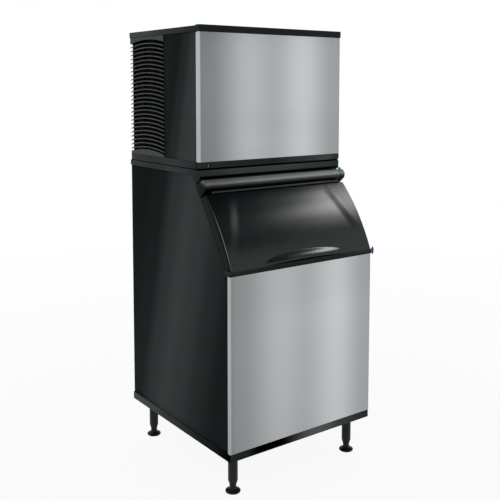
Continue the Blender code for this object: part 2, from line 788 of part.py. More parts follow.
# Oval knob on a short neck at the end of the ledge
def make_ledge_plug(skin):
    seat = HALF + LEDGE_PROUD + GAP
    face = seat + PLUG_REACH
    centre = (FRONT - LEDGE_PROUD + PLUG_INSET, (LEDGE_TOP + LEDGE_BOTTOM) / 2)
    made = piece("ledge_side_plug", rod(bmesh.new(), centre, PLUG_NECK, "X", seat, face + PLUG_SHEET / 2), skin)
    rings = []
    edge = PLUG_SHEET / 4
    levels = ((0.0, PLUG_EDGE_SHARE), (edge, 1), (PLUG_SHEET - edge, 1), (PLUG_SHEET, PLUG_EDGE_SHARE))
    for reach, share in levels:
        oval = circle((0.0, 0.0), share, SMALL_SEGMENTS)
        rings.append([(face + reach, centre[0] + PLUG_DEPTH * y, centre[1] + PLUG_HEIGHT * z) for y, z in oval])
    return join(made, loft(bmesh.new(), rings))


# Height of the arc of the door's face above its chord, at a share of the chord
def door_arc(share):
    half_chord = 0.5
    return DOOR_BULGE * (1 - ((share - half_chord) / half_chord) ** 2)


def smooth(value):
    held = min(max(value, 0.0), 1.0)
    return held * held * (3 - 2 * held)


# How far the dish and the pull lip move the door's face outwards
def door_relief(x, share):
    half = HALF - DOOR_INSET
    margin = DISH_MARGIN_TOP + (DISH_MARGIN_FOOT - DISH_MARGIN_TOP) * share
    across_dish = smooth((half - abs(x) - margin) / DISH_RAMP)
    down_dish = smooth(share * DOOR_TOP_ALONG / DISH_RAMP) * (1 - smooth(2 * share - 1))
    dish = -DISH_DEPTH * across_dish * down_dish
    from_foot = (1 - share) * DOOR_TOP_ALONG
    lens = 1 - (x / LIP_HALF) ** 2 - (from_foot / LIP_HEIGHT) ** 2
    lip = LIP_OUT * math.sqrt(max(lens, 0.0)) if lens > 0 else 0.0
    return dish + lip


# Side section of the door at a place across it: face, pull lip, finger pocket and underside
def door_section(x):
    rest = LEDGE_TOP + DOOR_REST
    foot_along = along_at_height(rest, DOOR_FOOT_OUT)
    pull = max(0.0, 1 - (x / LIP_HALF) ** 2)
    points = [on_slope(DOOR_TOP_ALONG, DOOR_BACK)]
    for share in DOOR_ROW_SHARES:
        along = DOOR_TOP_ALONG + (foot_along - DOOR_TOP_ALONG) * share
        out = DOOR_TOP_OUT + (DOOR_FOOT_OUT - DOOR_TOP_OUT) * share + door_arc(share)
        depth, height = on_slope(along, out + door_relief(x, share))
        lift = LIP_LIFT * pull * smooth((share - DOOR_ROW_SHARES[-5]) / (1 - DOOR_ROW_SHARES[-5]))
        points.append((depth, height + lift))
    lip_depth, lip_height = points[-1]
    pocket_height = lip_height + (POCKET_RISE - LIP_LIFT) * pull
    back = on_slope(along_at_height(rest, DOOR_BACK), DOOR_BACK)
    pocket_rear = lip_depth + LIP_EDGE + POCKET_DEPTH * pull
    limit = back[0] - LIP_EDGE * 2
    points.append((lip_depth + LIP_EDGE, lip_height))
    points.append((lip_depth + LIP_EDGE * 3 / 2, pocket_height))
    points.append((min(pocket_rear + LIP_EDGE, limit), pocket_height))
    points.append((min(pocket_rear + LIP_EDGE * 3 / 2, limit + LIP_EDGE / 2), rest))
    points.append(back)
    return points


def make_door(hinge, skin):
    half = HALF - DOOR_INSET
    bm = bmesh.new()
    rings = []
    for column in range(DOOR_COLUMNS + 1):
        x = half * (2 * column / DOOR_COLUMNS - 1)
        rings.append([(x, *point) for point in door_section(x)])
    loft(bm, rings, ring_closed=False)
    made = piece("bin_door", bm, skin, hinge)
    face = max(made.data.polygons, key=lambda polygon: polygon.center.z - polygon.center.y)
    outward = face.normal.z - face.normal.y > 0
    return thicken(made, DOOR_WALL, -1 if outward else 1)


# Moulded pan that closes the back of the door
def make_inner_panel(hinge, skin):
    half = HALF - DOOR_INSET - DOOR_WALL - INNER_PANEL_SIDE
    low = INNER_PANEL_RIM / 2
    high = DOOR_TOP_ALONG - INNER_PANEL_RIM / 2
    out = DOOR_BACK + GASKET_RISE
    rim = INNER_PANEL_RIM
    bm = bmesh.new()
    outer = [(-half, low), (half, low), (half, high), (-half, high)]
    inner = [(-half + rim, low + rim), (half - rim, low + rim)]
    inner += [(half - rim, high - rim), (-half + rim, high - rim)]
    slant = INNER_PANEL_PAN
    floor = [(-half + rim + slant, low + rim + slant), (half - rim - slant, low + rim + slant)]
    floor += [(half - rim - slant, high - rim - slant), (-half + rim + slant, high - rim - slant)]
    rings = []
    for ring, level in ((outer, out), (inner, out), (floor, out + INNER_PANEL_PAN)):
        rings.append([(x, *on_slope(along, level)) for x, along in ring])
    loft(bm, rings, caps=False)
    bm.verts.ensure_lookup_table()
    bm.faces.new(bm.verts[-4:])
    made = piece("door_inner_panel", bm, skin, hinge)
    face = made.data.polygons[-1]
    outward = face.normal.z - face.normal.y > 0
    return thicken(made, INNER_PANEL_SHEET, 1 if outward else -1)


def make_gasket(hinge, skin):
    half = HALF - DOOR_INSET - DOOR_WALL - INNER_PANEL_SIDE - GAP
    low = INNER_PANEL_RIM / 2 + GAP
    high = DOOR_TOP_ALONG - INNER_PANEL_RIM / 2 - GAP
    bottom = FRAME_OUT + GAP
    top = DOOR_BACK + GASKET_RISE - GAP
    outer = [(-half, low), (half, low), (half, high), (-half, high)]
    made = piece("door_gasket", slope_prism(bmesh.new(), outer, bottom, top), skin, hinge)
    wide = GASKET_WIDTH
    inner = [(-half + wide, low + wide), (half - wide, low + wide)]
    inner += [(half - wide, high - wide), (-half + wide, high - wide)]
    return cut(made, slope_prism(bmesh.new(), inner, bottom - OVERRUN, top + OVERRUN))


# Hollow barrel with bored ends, and the leaf that carries the bead above the door's top edge
def make_barrel(hinge, skin):
    centre = (hinge[1], hinge[2])
    end = HALF - CAP_WIDTH - RUNNING_GAP
    shoulder = end - BARREL_END_WALL
    bore = PIN_RADIUS + RUNNING_GAP
    inner = BARREL_RADIUS - BARREL_WALL
    profile = [
        (bore, -end),
        (BARREL_RADIUS, -end),
        (BARREL_RADIUS, end),
        (bore, end),
        (bore, shoulder),
        (inner, shoulder),
        (inner, -shoulder),
        (bore, -shoulder),
    ]
    made = piece("door_hinge_barrel", turned(bmesh.new(), profile, "X", centre, closed=True), skin, hinge)
    face = HINGE_OUT - LEAF_DROP
    root = HINGE_ALONG - BARREL_RADIUS + BARREL_WALL
    leaf = [
        on_slope(DOOR_TOP_ALONG + GAP, HINGE_OUT - BARREL_RADIUS),
        on_slope(HINGE_ALONG, HINGE_OUT - BARREL_RADIUS + BARREL_WALL / 2),
        on_slope(root, face),
        on_slope(DOOR_TOP_ALONG + GAP, face),
    ]
    half = HALF - CAP_WIDTH - CAP_WIDTH / 2
    join(made, prism(bmesh.new(), leaf, "X", -half, half))
    bead = on_slope(BEAD_ALONG, BEAD_LEVEL)
    return join(made, rod(bmesh.new(), bead, BEAD_RADIUS, "X", -end + BEAD_INSET, end - BEAD_INSET))


# Angle at which a line from a point outside a circle touches it, on the side that turn gives
def touch_angle(point, centre, radius, turn):
    reach = (point[0] - centre[0], point[1] - centre[1])
    angle = math.atan2(reach[1], reach[0]) + turn * math.acos(radius / math.hypot(*reach))
    return angle % (2 * math.pi)


# End piece: the barrel's round, with straight flanks that touch it and run down to the frame
def make_hinge_cap(name, side, hinge, skin):
    centre = (HINGE_ALONG, HINGE_OUT)
    tip = (FRAME_END + CAP_FOOT, GAP)
    corner = (SLOPE_LENGTH - CAP_CLEARANCE, GAP + CAP_CLEARANCE)
    start = touch_angle(tip, centre, BARREL_RADIUS, -1)
    finish = touch_angle(corner, centre, BARREL_RADIUS, 1)
    count = ROUND_SEGMENTS // 2
    outline = [on_slope(*tip)]
    for step in range(count + 1):
        angle = start + (finish - start) * step / count
        along = HINGE_ALONG + BARREL_RADIUS * math.cos(angle)
        outline.append(on_slope(along, HINGE_OUT + BARREL_RADIUS * math.sin(angle)))
    outline.append(on_slope(*corner))
    outline.append(on_slope(corner[0], GAP))
    low = side * (HALF - CAP_WIDTH)
    high = side * HALF
    made = piece(name, prism(bmesh.new(), outline, "X", min(low, high), max(low, high)), skin)
    outer = side * (HALF - CAP_WIDTH / 2)
    inner = outer - side * PIN_LENGTH
    return join(made, rod(bmesh.new(), (hinge[1], hinge[2]), PIN_RADIUS, "X", *sorted((outer, inner))))


def make_pin_tab(hinge, skin):
    x_range = (HALF - TAB_INSET - TAB_WIDTH, HALF - TAB_INSET)
    base = hinge[2] + BARREL_RADIUS + GAP
    y_range = (hinge[1] - TAB_DEPTH / 2, hinge[1] + TAB_DEPTH / 2)
    return piece("hinge_pin_tab", block(bmesh.new(), x_range, y_range, (base, base + TAB_HEIGHT)), skin)


def make_baffle(skin):
    half = HALF - MOUTH_SIDE - GAP
    outline = [(-half, BAFFLE_START), (half, BAFFLE_START), (half, BAFFLE_END), (-half, BAFFLE_END)]
    bm = slope_prism(bmesh.new(), outline, -BAFFLE_SINK - TUB_WALL, -BAFFLE_SINK)
    return piece("ice_baffle", bm, skin)


# Threaded drain stub through the back of the bin
def make_drain(skin):
    inner = REAR - TUB_REAR_FOAM
    outer = REAR + NIPPLE_REACH
    seat = BACK_FACE + GAP
    profile = [
        (NIPPLE_BORE, inner),
        (NIPPLE_RADIUS, inner),
        (NIPPLE_RADIUS, seat),
        (NIPPLE_FLANGE, seat),
        (NIPPLE_FLANGE, seat + FLANGE_SHEET),
        (NIPPLE_RADIUS, seat + FLANGE_SHEET),
        (NIPPLE_RADIUS, outer),
        (NIPPLE_BORE, outer),
    ]
    bm = turned(bmesh.new(), profile, "Y", (0.0, DRAIN_AXIS), SMALL_SEGMENTS, closed=True)
    return piece("bin_drain_fitting", bm, skin)


def make_leg(name, x, depth, skin):
    top = BASE_BOTTOM - GAP
    flange = top - LEG_FLANGE_HEIGHT
    neck = FOOT_HEIGHT + GAP + LEG_NECK_LENGTH
    straight = neck + LEG_TAPER
    bore = STUD_RADIUS + GAP
    low = FOOT_HEIGHT + GAP
    profile = [
        (bore, top),
        (LEG_FLANGE, top),
        (LEG_FLANGE, flange),
        (LEG_RADIUS, flange),
        (LEG_RADIUS, straight),
        (LEG_NECK, neck),
        (LEG_NECK, low),
        (bore, low),
    ]
    bm = turned(bmesh.new(), profile, "Z", (x, depth), SMALL_SEGMENTS, closed=True)
    return piece(name, bm, skin, (x, depth, 0.0))


def make_foot(name, x, depth, skin):
    profile = [
        (FOOT_RADIUS - FOOT_EDGE / 2, 0.0),
        (FOOT_RADIUS, FOOT_EDGE / 2),
        (FOOT_RADIUS, FOOT_EDGE),
        (LEG_NECK, FOOT_HEIGHT - FOOT_EDGE / 2),
        (LEG_NECK, FOOT_HEIGHT),
        (STUD_RADIUS, FOOT_HEIGHT),
        (STUD_RADIUS, BASE_BOTTOM - STUD_ROOM),
    ]
    return piece(name, turned(bmesh.new(), profile, "Z", (x, depth), SMALL_SEGMENTS), skin, (x, depth, 0.0))


# Head
def make_head_base(skin):
    edge = HALF - TRIM_WALL - GAP
    front = HEAD_FRONT + TRIM_WALL + GAP
    bm = block(bmesh.new(), (-HALF, HALF), (RETURN_END + TRIM_JOINT, HEAD_REAR), (HEAD_BOTTOM, TRIM_TOP))
    made = piece("head_base", bm, skin)
    inner = HALF - TRIM_WALL
    z_range = (FLOOR_TOP, TRIM_TOP + OVERRUN)
    cut(made, block(bmesh.new(), (-inner, inner), (front, HEAD_REAR - TRIM_WALL), z_range))
    upstand = [
        (front, HEAD_BOTTOM),
        (front, TRIM_TOP - TRIM_LIP),
        (front + SHEET, TRIM_TOP - TRIM_LIP),
        (front + SHEET, FLOOR_TOP),
        (RETURN_END + TRIM_WALL, FLOOR_TOP),
        (RETURN_END + TRIM_WALL, HEAD_BOTTOM),
    ]
    join(made, prism(bmesh.new(), upstand, "X", -edge, edge))
    z_range = (HEAD_BOTTOM - OVERRUN, FLOOR_TOP + OVERRUN)
    cut(made, block(bmesh.new(), (DROP_LEFT, DROP_RIGHT), (DROP_FRONT, DROP_REAR), z_range))
    for side in (-1, 1):
        centre = (side * (HALF - SCREW_INSET), SCREW_AXIS)
        cut(made, rod(bmesh.new(), centre, SCREW_HOLE, "Y", front - GAP, front + SCREW_LENGTH))
    return made


def make_bottom_trim(skin):
    wall = TRIM_WALL
    low = HEAD_BOTTOM + TRIM_SHADOW
    profile = [
        (0.0, low),
        (0.0, TRIM_TOP),
        (-TRIM_LIP, TRIM_TOP),
        (-TRIM_LIP, TRIM_TOP - wall),
        (-wall, TRIM_TOP - wall),
        (-wall, low),
    ]
    made = piece("front_bottom_trim", wrap_strip(bmesh.new(), profile, HALF, HEAD_FRONT, RETURN_END), skin)
    for side in (-1, 1):
        centre = (side * (HALF - SCREW_INSET), SCREW_AXIS)
        cut(made, rod(bmesh.new(), centre, SCREW_HOLE, "Y", HEAD_FRONT - OVERRUN, HEAD_FRONT + OVERRUN / 2))
    return made


def make_front_screw(name, side, skin):
    seat = HEAD_FRONT - GAP
    profile = [
        (SCREW_HEAD - SCREW_HEAD_HEIGHT / 2, seat - SCREW_HEAD_HEIGHT),
        (SCREW_HEAD, seat - SCREW_HEAD_HEIGHT / 2),
        (SCREW_HEAD, seat),
        (SCREW_SHANK, seat),
        (SCREW_SHANK, seat + SCREW_LENGTH),
    ]
    centre = (side * (HALF - SCREW_INSET), SCREW_AXIS)
    return piece(name, turned(bmesh.new(), profile, "Y", centre, SMALL_SEGMENTS), skin)


def make_head_front(skin):
    low = PANEL_BOTTOM
    high = PANEL_TOP
    profile = [
        (0.0, low),
        (0.0, high),
        (-TRIM_LIP, high),
        (-TRIM_LIP, high - SHEET),
        (-SHEET, high - SHEET),
        (-SHEET, low + SHEET),
        (-TRIM_LIP, low + SHEET),
        (-TRIM_LIP, low),
    ]
    bm = wrap_strip(bmesh.new(), profile, HALF, HEAD_FRONT, RETURN_END)
    return piece("head_front_panel", bm, skin)


def make_top_cover(skin):
    edge = HALF + COVER_OVERHANG
    front = RETURN_END + GAP
    rear = HEAD_REAR + COVER_OVERHANG
    bm = block(bmesh.new(), (-edge, edge), (front, rear), (COVER_BOTTOM, TOP))
    made = piece("head_top_cover", bm, skin)
    inner = edge - COVER_WALL
    y_range = (front + COVER_WALL, rear - COVER_WALL)
    z_range = (COVER_BOTTOM - OVERRUN, TOP - COVER_SKIN)
    return cut(made, block(bmesh.new(), (-inner, inner), y_range, z_range))


def make_top_trim(skin):
    edge = HALF + COVER_OVERHANG
    front = HEAD_FRONT - COVER_OVERHANG
    bm = block(bmesh.new(), (-edge, edge), (front, RETURN_END), (COVER_BOTTOM, TOP))
    made = piece("front_top_trim", bm, skin)
    inner = edge - COVER_WALL
    y_range = (front + COVER_WALL, RETURN_END + OVERRUN)
    z_range = (COVER_BOTTOM - OVERRUN, TOP - COVER_SKIN)
    return cut(made, block(bmesh.new(), (-inner, inner), y_range, z_range))


def make_head_side(name, side, rear, skin):
    front = RETURN_END + GAP
    outline = [(front, PANEL_BOTTOM), (rear, PANEL_BOTTOM), (rear, PANEL_TOP), (front, PANEL_TOP)]
    return folded_panel(name, outline, side * (HALF - HEAD_SIDE_INSET), -side, (0,), skin)


# Rise of the grille's arches at a place along it
def arch(depth):
    middle = HEAD_REAR - GRILLE_LENGTH / 2
    return ARCH_RISE * (1 - ((depth - middle) / (GRILLE_LENGTH / 2)) ** 2)


def grille_stations():
    return [GRILLE_FRONT + GRILLE_LENGTH * step / BLADE_SEGMENTS for step in range(BLADE_SEGMENTS + 1)]


# Moulded grille: header and sill with arched edges, recessed stiles and ribs, arched blades
def make_grille(skin):
    face = -HALF - GRILLE_PROUD
    inner = face + GRILLE_DEPTH
    opening_top = PANEL_TOP - GRILLE_HEADER - ARCH_RISE
    opening_bottom = PANEL_BOTTOM + GRILLE_SILL - ARCH_RISE
    sill = []
    header = []
    for depth in grille_stations():
        sill_edge = opening_bottom + arch(depth)
        header_edge = opening_top + arch(depth)
        for band, low, high in ((sill, PANEL_BOTTOM, sill_edge), (header, header_edge, PANEL_TOP)):
            band.append([(face, depth, low), (face, depth, high), (inner, depth, high), (inner, depth, low)])
    made = piece("louver_grille", loft(bmesh.new(), sill), skin)
    join(made, loft(bmesh.new(), header))
    stiles = bmesh.new()
    x_range = (face + STILE_SETBACK, inner - GAP)
    z_range = (PANEL_BOTTOM + GAP, PANEL_TOP - GAP)
    block(stiles, x_range, (GRILLE_FRONT + GAP, GRILLE_FRONT + STILE_WIDTH), z_range)
    block(stiles, x_range, (HEAD_REAR - STILE_WIDTH, HEAD_REAR - GAP), z_range)
    for share in RIB_SHARES:
        middle = GRILLE_FRONT + GRILLE_LENGTH * share
        block(stiles, x_range, (middle - RIB_WIDTH / 2, middle + RIB_WIDTH / 2), z_range)
    join(made, stiles)
    pitch = (opening_top - opening_bottom) / (BLADE_COUNT + 1)
    blades = bmesh.new()
    for number in range(1, BLADE_COUNT + 1):
        base = opening_bottom + pitch * number
        rings = []
        for depth in grille_stations():
            low = base + arch(depth)
            rings.append([
                (face, depth, low),
                (face, depth, low + BLADE_THICKNESS),
                (face + BLADE_DEPTH, depth, low + BLADE_THICKNESS + BLADE_LIFT),
                (face + BLADE_DEPTH, depth, low + BLADE_LIFT),
            ])
        loft(blades, rings)
    return join(made, blades)


def make_head_back(skin):
    low = FLOOR_SEAT
    high = PANEL_TOP - SHEET - GAP
    left = -HALF - GRILLE_PROUD + GRILLE_DEPTH + GAP
    right = HALF - HEAD_SIDE_INSET - SHEET - GAP
    outer = HEAD_REAR - TRIM_WALL - GAP
    y_range = (outer - SHEET, outer)
    made = piece("head_back_panel", block(bmesh.new(), (left, right), y_range, (low, high)), skin)
    through = (outer - OVERRUN, outer + OVERRUN)
    slots = bmesh.new()
    for row in range(SLOT_ROWS):
        base = FLOOR_TOP + SLOT_START + SLOT_PITCH * row
        for start in (-SLOT_WIDTH - SLOT_PITCH / 2, SLOT_PITCH / 2):
            shift = start - SLOT_WIDTH / 4
            block(slots, (shift, shift + SLOT_WIDTH), through, (base, base + SLOT_HEIGHT))
    cut(made, slots)
    centre = (VALVE_X, FLOOR_TOP + VALVE_RISE)
    return cut(made, rod(bmesh.new(), centre, NIPPLE_RADIUS + GAP, "Y", *through))


def make_partition(skin):
    right = HALF - HEAD_SIDE_INSET - SHEET - GAP
    top = FLOOR_SEAT + INNER_HEIGHT
    front = RETURN_END + PANEL_FLANGE
    outline = [
        (PARTITION_X, front),
        (PARTITION_X + PARTITION_WALL, front),
        (PARTITION_X + PARTITION_WALL, PARTITION_Y),
        (right, PARTITION_Y),
        (right, PARTITION_Y + PARTITION_WALL),
        (PARTITION_X, PARTITION_Y + PARTITION_WALL),
    ]
    made = piece("partition_wall", prism(bmesh.new(), outline, "Z", FLOOR_SEAT, top), skin)
    for centre in (SUCTION_START, LIQUID_END):
        hole = (PARTITION_Y - OVERRUN / 2, PARTITION_Y + OVERRUN)
        cut(made, rod(bmesh.new(), centre, PIPE_HOLE, "Y", *hole))
    return made


# Plate with a field of square cube pockets, rear posts, and arms that carry the curtain
def make_evaporator(skin):
    x_range = (EVAPORATOR_LEFT, EVAPORATOR_RIGHT)
    bottom = FLOOR_TOP + EVAPORATOR_BOTTOM
    front = EVAPORATOR_FRONT
    rear = front + CUBE_DEPTH + EVAPORATOR_PLATE
    made = piece("evaporator", block(bmesh.new(), x_range, (front, rear), (bottom, EVAPORATOR_TOP)), skin)
    pockets = bmesh.new()
    wall = CUBE_WALL / 2
    for column in range(CUBE_COLUMNS):
        left = x_range[0] + EVAPORATOR_WIDTH * column / CUBE_COLUMNS
        right = x_range[0] + EVAPORATOR_WIDTH * (column + 1) / CUBE_COLUMNS
        for row in range(CUBE_ROWS):
            low = bottom + EVAPORATOR_HEIGHT * row / CUBE_ROWS
            high = bottom + EVAPORATOR_HEIGHT * (row + 1) / CUBE_ROWS
            cell = (front - CUBE_DEPTH, front + CUBE_DEPTH)
            block(pockets, (left + wall, right - wall), cell, (low + wall, high - wall))
    cut(made, pockets)
    posts = bmesh.new()
    for side in (-1, 1):
        for share in (1 / 6, 5 / 6):
            centre = (EVAPORATOR_CENTRE + side * EVAPORATOR_WIDTH / 3, bottom + EVAPORATOR_HEIGHT * share)
            rod(posts, centre, EVAPORATOR_POST, "Y", rear - CUBE_WALL, PARTITION_Y - GAP)
    join(made, posts)
    arms = bmesh.new()
    top = bottom + EVAPORATOR_HEIGHT
    for side in (-1, 1):
        edge = EVAPORATOR_CENTRE + side * (EVAPORATOR_WIDTH / 2 - ARM_SHEET / 2)
        x_range = sorted((edge, edge + side * ARM_SHEET))
        block(arms, x_range, (front - ARM_REACH, rear - CUBE_WALL), (top - ARM_SHEET, top + ARM_HEIGHT))
    join(made, arms)
    bore = CURTAIN_PIN + GAP
    reach = EVAPORATOR_WIDTH / 2 + OVERRUN
    x_range = (EVAPORATOR_CENTRE - reach, EVAPORATOR_CENTRE + reach)
    return cut(made, rod(bmesh.new(), (CURTAIN_AXIS[1], CURTAIN_AXIS[2]), bore, "X", *x_range))


def make_curtain(skin):
    centre = (CURTAIN_AXIS[1], CURTAIN_AXIS[2])
    arm = EVAPORATOR_WIDTH / 2 - ARM_SHEET / 2
    half = arm - RUNNING_GAP
    x_range = (EVAPORATOR_CENTRE - half, EVAPORATOR_CENTRE + half)
    sheet = CURTAIN_SHEET / 2
    low = centre[1] - CURTAIN_DROP
    guide = low + CURTAIN_AHEAD
    outline = [
        (centre[0] - sheet, centre[1] + sheet),
        (centre[0] - sheet, guide),
        (centre[0] + CURTAIN_AHEAD / 4 - sheet, low),
        (centre[0] + CURTAIN_AHEAD / 4 + sheet, low),
        (centre[0] + sheet, guide),
        (centre[0] + sheet, centre[1] + sheet),
    ]
    bm = prism(bmesh.new(), outline, "X", *x_range)
    made = piece("water_curtain", bm, skin, CURTAIN_AXIS)
    pin_half = arm + ARM_SHEET - RUNNING_GAP
    pins = (EVAPORATOR_CENTRE - pin_half, EVAPORATOR_CENTRE + pin_half)
    return join(made, rod(bmesh.new(), centre, CURTAIN_PIN, "X", *pins))


def make_distribution_tube(skin):
    half = EVAPORATOR_WIDTH / 2 - ARM_SHEET / 2 - GAP
    centre = (EVAPORATOR_FRONT + CUBE_DEPTH / 2, EVAPORATOR_TOP + GAP + TUBE_RADIUS)
    ends = (EVAPORATOR_CENTRE - half, EVAPORATOR_CENTRE + half)
    return piece("distribution_tube", rod(bmesh.new(), centre, TUBE_RADIUS, "X", *ends), skin)


def make_trough(skin):
    half = EVAPORATOR_WIDTH / 2 + TROUGH_DROP
    top = FLOOR_TOP + EVAPORATOR_BOTTOM - TROUGH_DROP
    rear = PARTITION_Y - GAP
    x_range = (EVAPORATOR_CENTRE - half, EVAPORATOR_CENTRE + half)
    bm = block(bmesh.new(), x_range, (rear - TROUGH_DEPTH, rear), (top - TROUGH_HEIGHT, top))
    made = piece("water_trough", bm, skin)
    wall = TROUGH_WALL
    inner = (x_range[0] + wall, x_range[1] - wall)
    y_range = (rear - TROUGH_DEPTH + wall, rear - wall)
    return cut(made, block(bmesh.new(), inner, y_range, (top - TROUGH_HEIGHT + wall, top + OVERRUN)))


# Pump with its volute below, its motor above and a foot against the partition
def make_pump(skin):
    low = PUMP_BOTTOM
    neck = low + PUMP_VOLUTE_HEIGHT
    profile = [
        (PUMP_VOLUTE, low),
        (PUMP_VOLUTE, neck),
        (PUMP_RADIUS / 2, neck + PUMP_RADIUS / 2),
        (PUMP_RADIUS, neck + PUMP_RADIUS),
        (PUMP_RADIUS, low + PUMP_HEIGHT),
        (PUMP_RADIUS / 2, low + PUMP_HEIGHT + PUMP_RADIUS / 4),
    ]
    depth = PARTITION_Y - PUMP_VOLUTE * 3 / 2
    made = piece("water_pump", turned(bmesh.new(), profile, "Z", (PUMP_X, depth), SMALL_SEGMENTS), skin)
    x_range = (PUMP_X - PUMP_RADIUS / 2, PUMP_X + PUMP_RADIUS / 2)
    z_range = (low + CUBE_WALL, neck - CUBE_WALL)
    return join(made, block(bmesh.new(), x_range, (depth, PARTITION_Y - GAP), z_range))


def make_water_hose(skin):
    depth = PARTITION_Y - PUMP_VOLUTE * 3 / 2 - PUMP_VOLUTE - GAP
    low = PUMP_BOTTOM + PUMP_VOLUTE_HEIGHT / 2
    tube_depth = EVAPORATOR_FRONT + CUBE_DEPTH / 2
    tube_height = EVAPORATOR_TOP + GAP + TUBE_RADIUS
    ahead = depth - PIPE_BEND
    end = EVAPORATOR_CENTRE - EVAPORATOR_WIDTH / 2 - ARM_SHEET / 2 - GAP
    corners = [
        (PUMP_X, depth, low),
        (PUMP_X, ahead, low),
        (PUMP_X, ahead, tube_height),
        (PUMP_X, tube_depth, tube_height),
        (end, tube_depth, tube_height),
    ]
    bend = HOSE_RADIUS * 2
    return piece("water_hose", pipe(bmesh.new(), corners, HOSE_RADIUS, bend), skin)


# Finned coil: a comb section whose slots stand open on the air side
def make_coil(skin):
    left = -HALF + COIL_SETBACK
    right = left + COIL_DEPTH
    count = int((COIL_REAR - COIL_FRONT) / FIN_PITCH)
    outline = [(right, COIL_REAR), (right, COIL_FRONT), (left, COIL_FRONT)]
    for number in range(1, count):
        middle = COIL_FRONT + FIN_PITCH * number
        outline += [(left, middle - FIN_SLOT / 2), (left + FIN_CUT, middle - FIN_SLOT / 2)]
        outline += [(left + FIN_CUT, middle + FIN_SLOT / 2), (left, middle + FIN_SLOT / 2)]
    outline.append((left, COIL_REAR))
    bm = prism(bmesh.new(), outline, "Z", FLOOR_SEAT, FLOOR_SEAT + INNER_HEIGHT)
    return piece("condenser_coil", bm, skin)


def make_shroud(skin):
    plate_rear = SHROUD_X
    z_range = (FLOOR_SEAT, FLOOR_SEAT + INNER_HEIGHT)
    bm = block(bmesh.new(), (plate_rear, plate_rear + SHROUD_SHEET), (COIL_FRONT, SHROUD_REAR), z_range)
    made = piece("fan_shroud", bm, skin)
    centre = (FAN_AXIS[1], FAN_AXIS[2])
    outer = SHROUD_BORE + SHROUD_RING
    count = ROUND_SEGMENTS
    join(made, rod(bmesh.new(), centre, outer, "X", plate_rear + GAP, plate_rear + SHROUD_REACH, count))
    through = (plate_rear - OVERRUN, plate_rear + SHROUD_REACH + OVERRUN)
    return cut(made, rod(bmesh.new(), centre, SHROUD_BORE, "X", *through, count))


def make_fan(skin):
    centre = (FAN_AXIS[1], FAN_AXIS[2])
    low = FAN_AXIS[0] - FAN_HUB_LENGTH / 2
    high = FAN_AXIS[0] + FAN_HUB_LENGTH / 2
    profile = [(FAN_BORE, low), (FAN_HUB, low), (FAN_HUB, high), (FAN_BORE, high)]
    made = piece("condenser_fan", turned(bmesh.new(), profile, "X", centre, closed=True), skin, FAN_AXIS)
    blades = bmesh.new()
    for number in range(FAN_BLADES):
        turn = Matrix.Rotation(2 * math.pi * number / FAN_BLADES, 4, "X")
        rings = []
        stations = ((FAN_HUB * 3 / 4, FAN_HUB), (FAN_RADIUS * 3 / 5, FAN_CHORD), (FAN_RADIUS, FAN_CHORD))
        for radius, chord in stations:
            ring = []
            for across_chord, thick in ((-1, -1), (1, -1), (1, 1), (-1, 1)):
                flat = across_chord * chord / 2
                lift = thick * FAN_SHEET / 2
                x = flat * math.sin(FAN_PITCH) / 2 + lift
                side = flat * math.cos(FAN_PITCH)
                ring.append(Vector(FAN_AXIS) + turn @ Vector((x, side, radius)))
            rings.append(ring)
        loft(blades, rings)
    return join(made, blades)


def make_fan_motor(skin):
    centre = (FAN_AXIS[1], FAN_AXIS[2])
    face = FAN_AXIS[0] + FAN_HUB_LENGTH / 2 + MOTOR_GAP
    rear = face + MOTOR_LENGTH
    tip = FAN_AXIS[0] - FAN_HUB_LENGTH / 2
    profile = [
        (SHAFT_RADIUS, tip),
        (SHAFT_RADIUS, face),
        (MOTOR_RADIUS * 3 / 4, face),
        (MOTOR_RADIUS, face + MOTOR_RADIUS / 4),
        (MOTOR_RADIUS, rear - MOTOR_RADIUS / 4),
        (MOTOR_RADIUS * 3 / 4, rear),
    ]
    made = piece("fan_motor", turned(bmesh.new(), profile, "X", centre, SMALL_SEGMENTS), skin)
    middle = (face + rear) / 2
    x_range = (middle, middle + STRAP_SHEET)
    y_range = (centre[0] - STRAP_WIDTH / 2, centre[0] + STRAP_WIDTH / 2)
    return join(made, block(bmesh.new(), x_range, y_range, (FLOOR_SEAT, centre[1])))


# Folded channel that lifts the compressor off the floor
def make_tray(skin):
    top = FLOOR_SEAT + TRAY_HEIGHT
    sheet = TRAY_SHEET
    outline = [
        (-TRAY_HALF, FLOOR_SEAT),
        (-TRAY_HALF, top),
        (TRAY_HALF, top),
        (TRAY_HALF, FLOOR_SEAT),
        (TRAY_HALF - sheet, FLOOR_SEAT),
        (TRAY_HALF - sheet, top - sheet),
        (-TRAY_HALF + sheet, top - sheet),
        (-TRAY_HALF + sheet, FLOOR_SEAT),
    ]
    moved = [(COMPRESSOR_X + x, z) for x, z in outline]
    y_range = (COMPRESSOR_Y - TRAY_HALF, COMPRESSOR_Y + TRAY_HALF)
    return piece("compressor_tray", prism(bmesh.new(), moved, "Y", *y_range), skin)


def make_compressor(skin):
    low = FLOOR_SEAT + TRAY_HEIGHT + GAP
    foot = low + COMPRESSOR_FLANGE
    radius = COMPRESSOR_RADIUS
    dome = radius / 3
    top = low + COMPRESSOR_HEIGHT
    profile = [
        (radius * 3 / 4, low),
        (radius, low + dome / 2),
        (radius, top - dome),
        (radius * 7 / 8, top - dome / 3),
        (radius / 2, top),
    ]
    centre = (COMPRESSOR_X, COMPRESSOR_Y)
    made = piece("compressor", turned(bmesh.new(), profile, "Z", centre), skin)
    reach = COMPRESSOR_FOOT
    x_range = (COMPRESSOR_X - reach, COMPRESSOR_X + reach)
    return join(made, block(bmesh.new(), x_range, (COMPRESSOR_Y - reach, COMPRESSOR_Y + reach), (low, foot)))


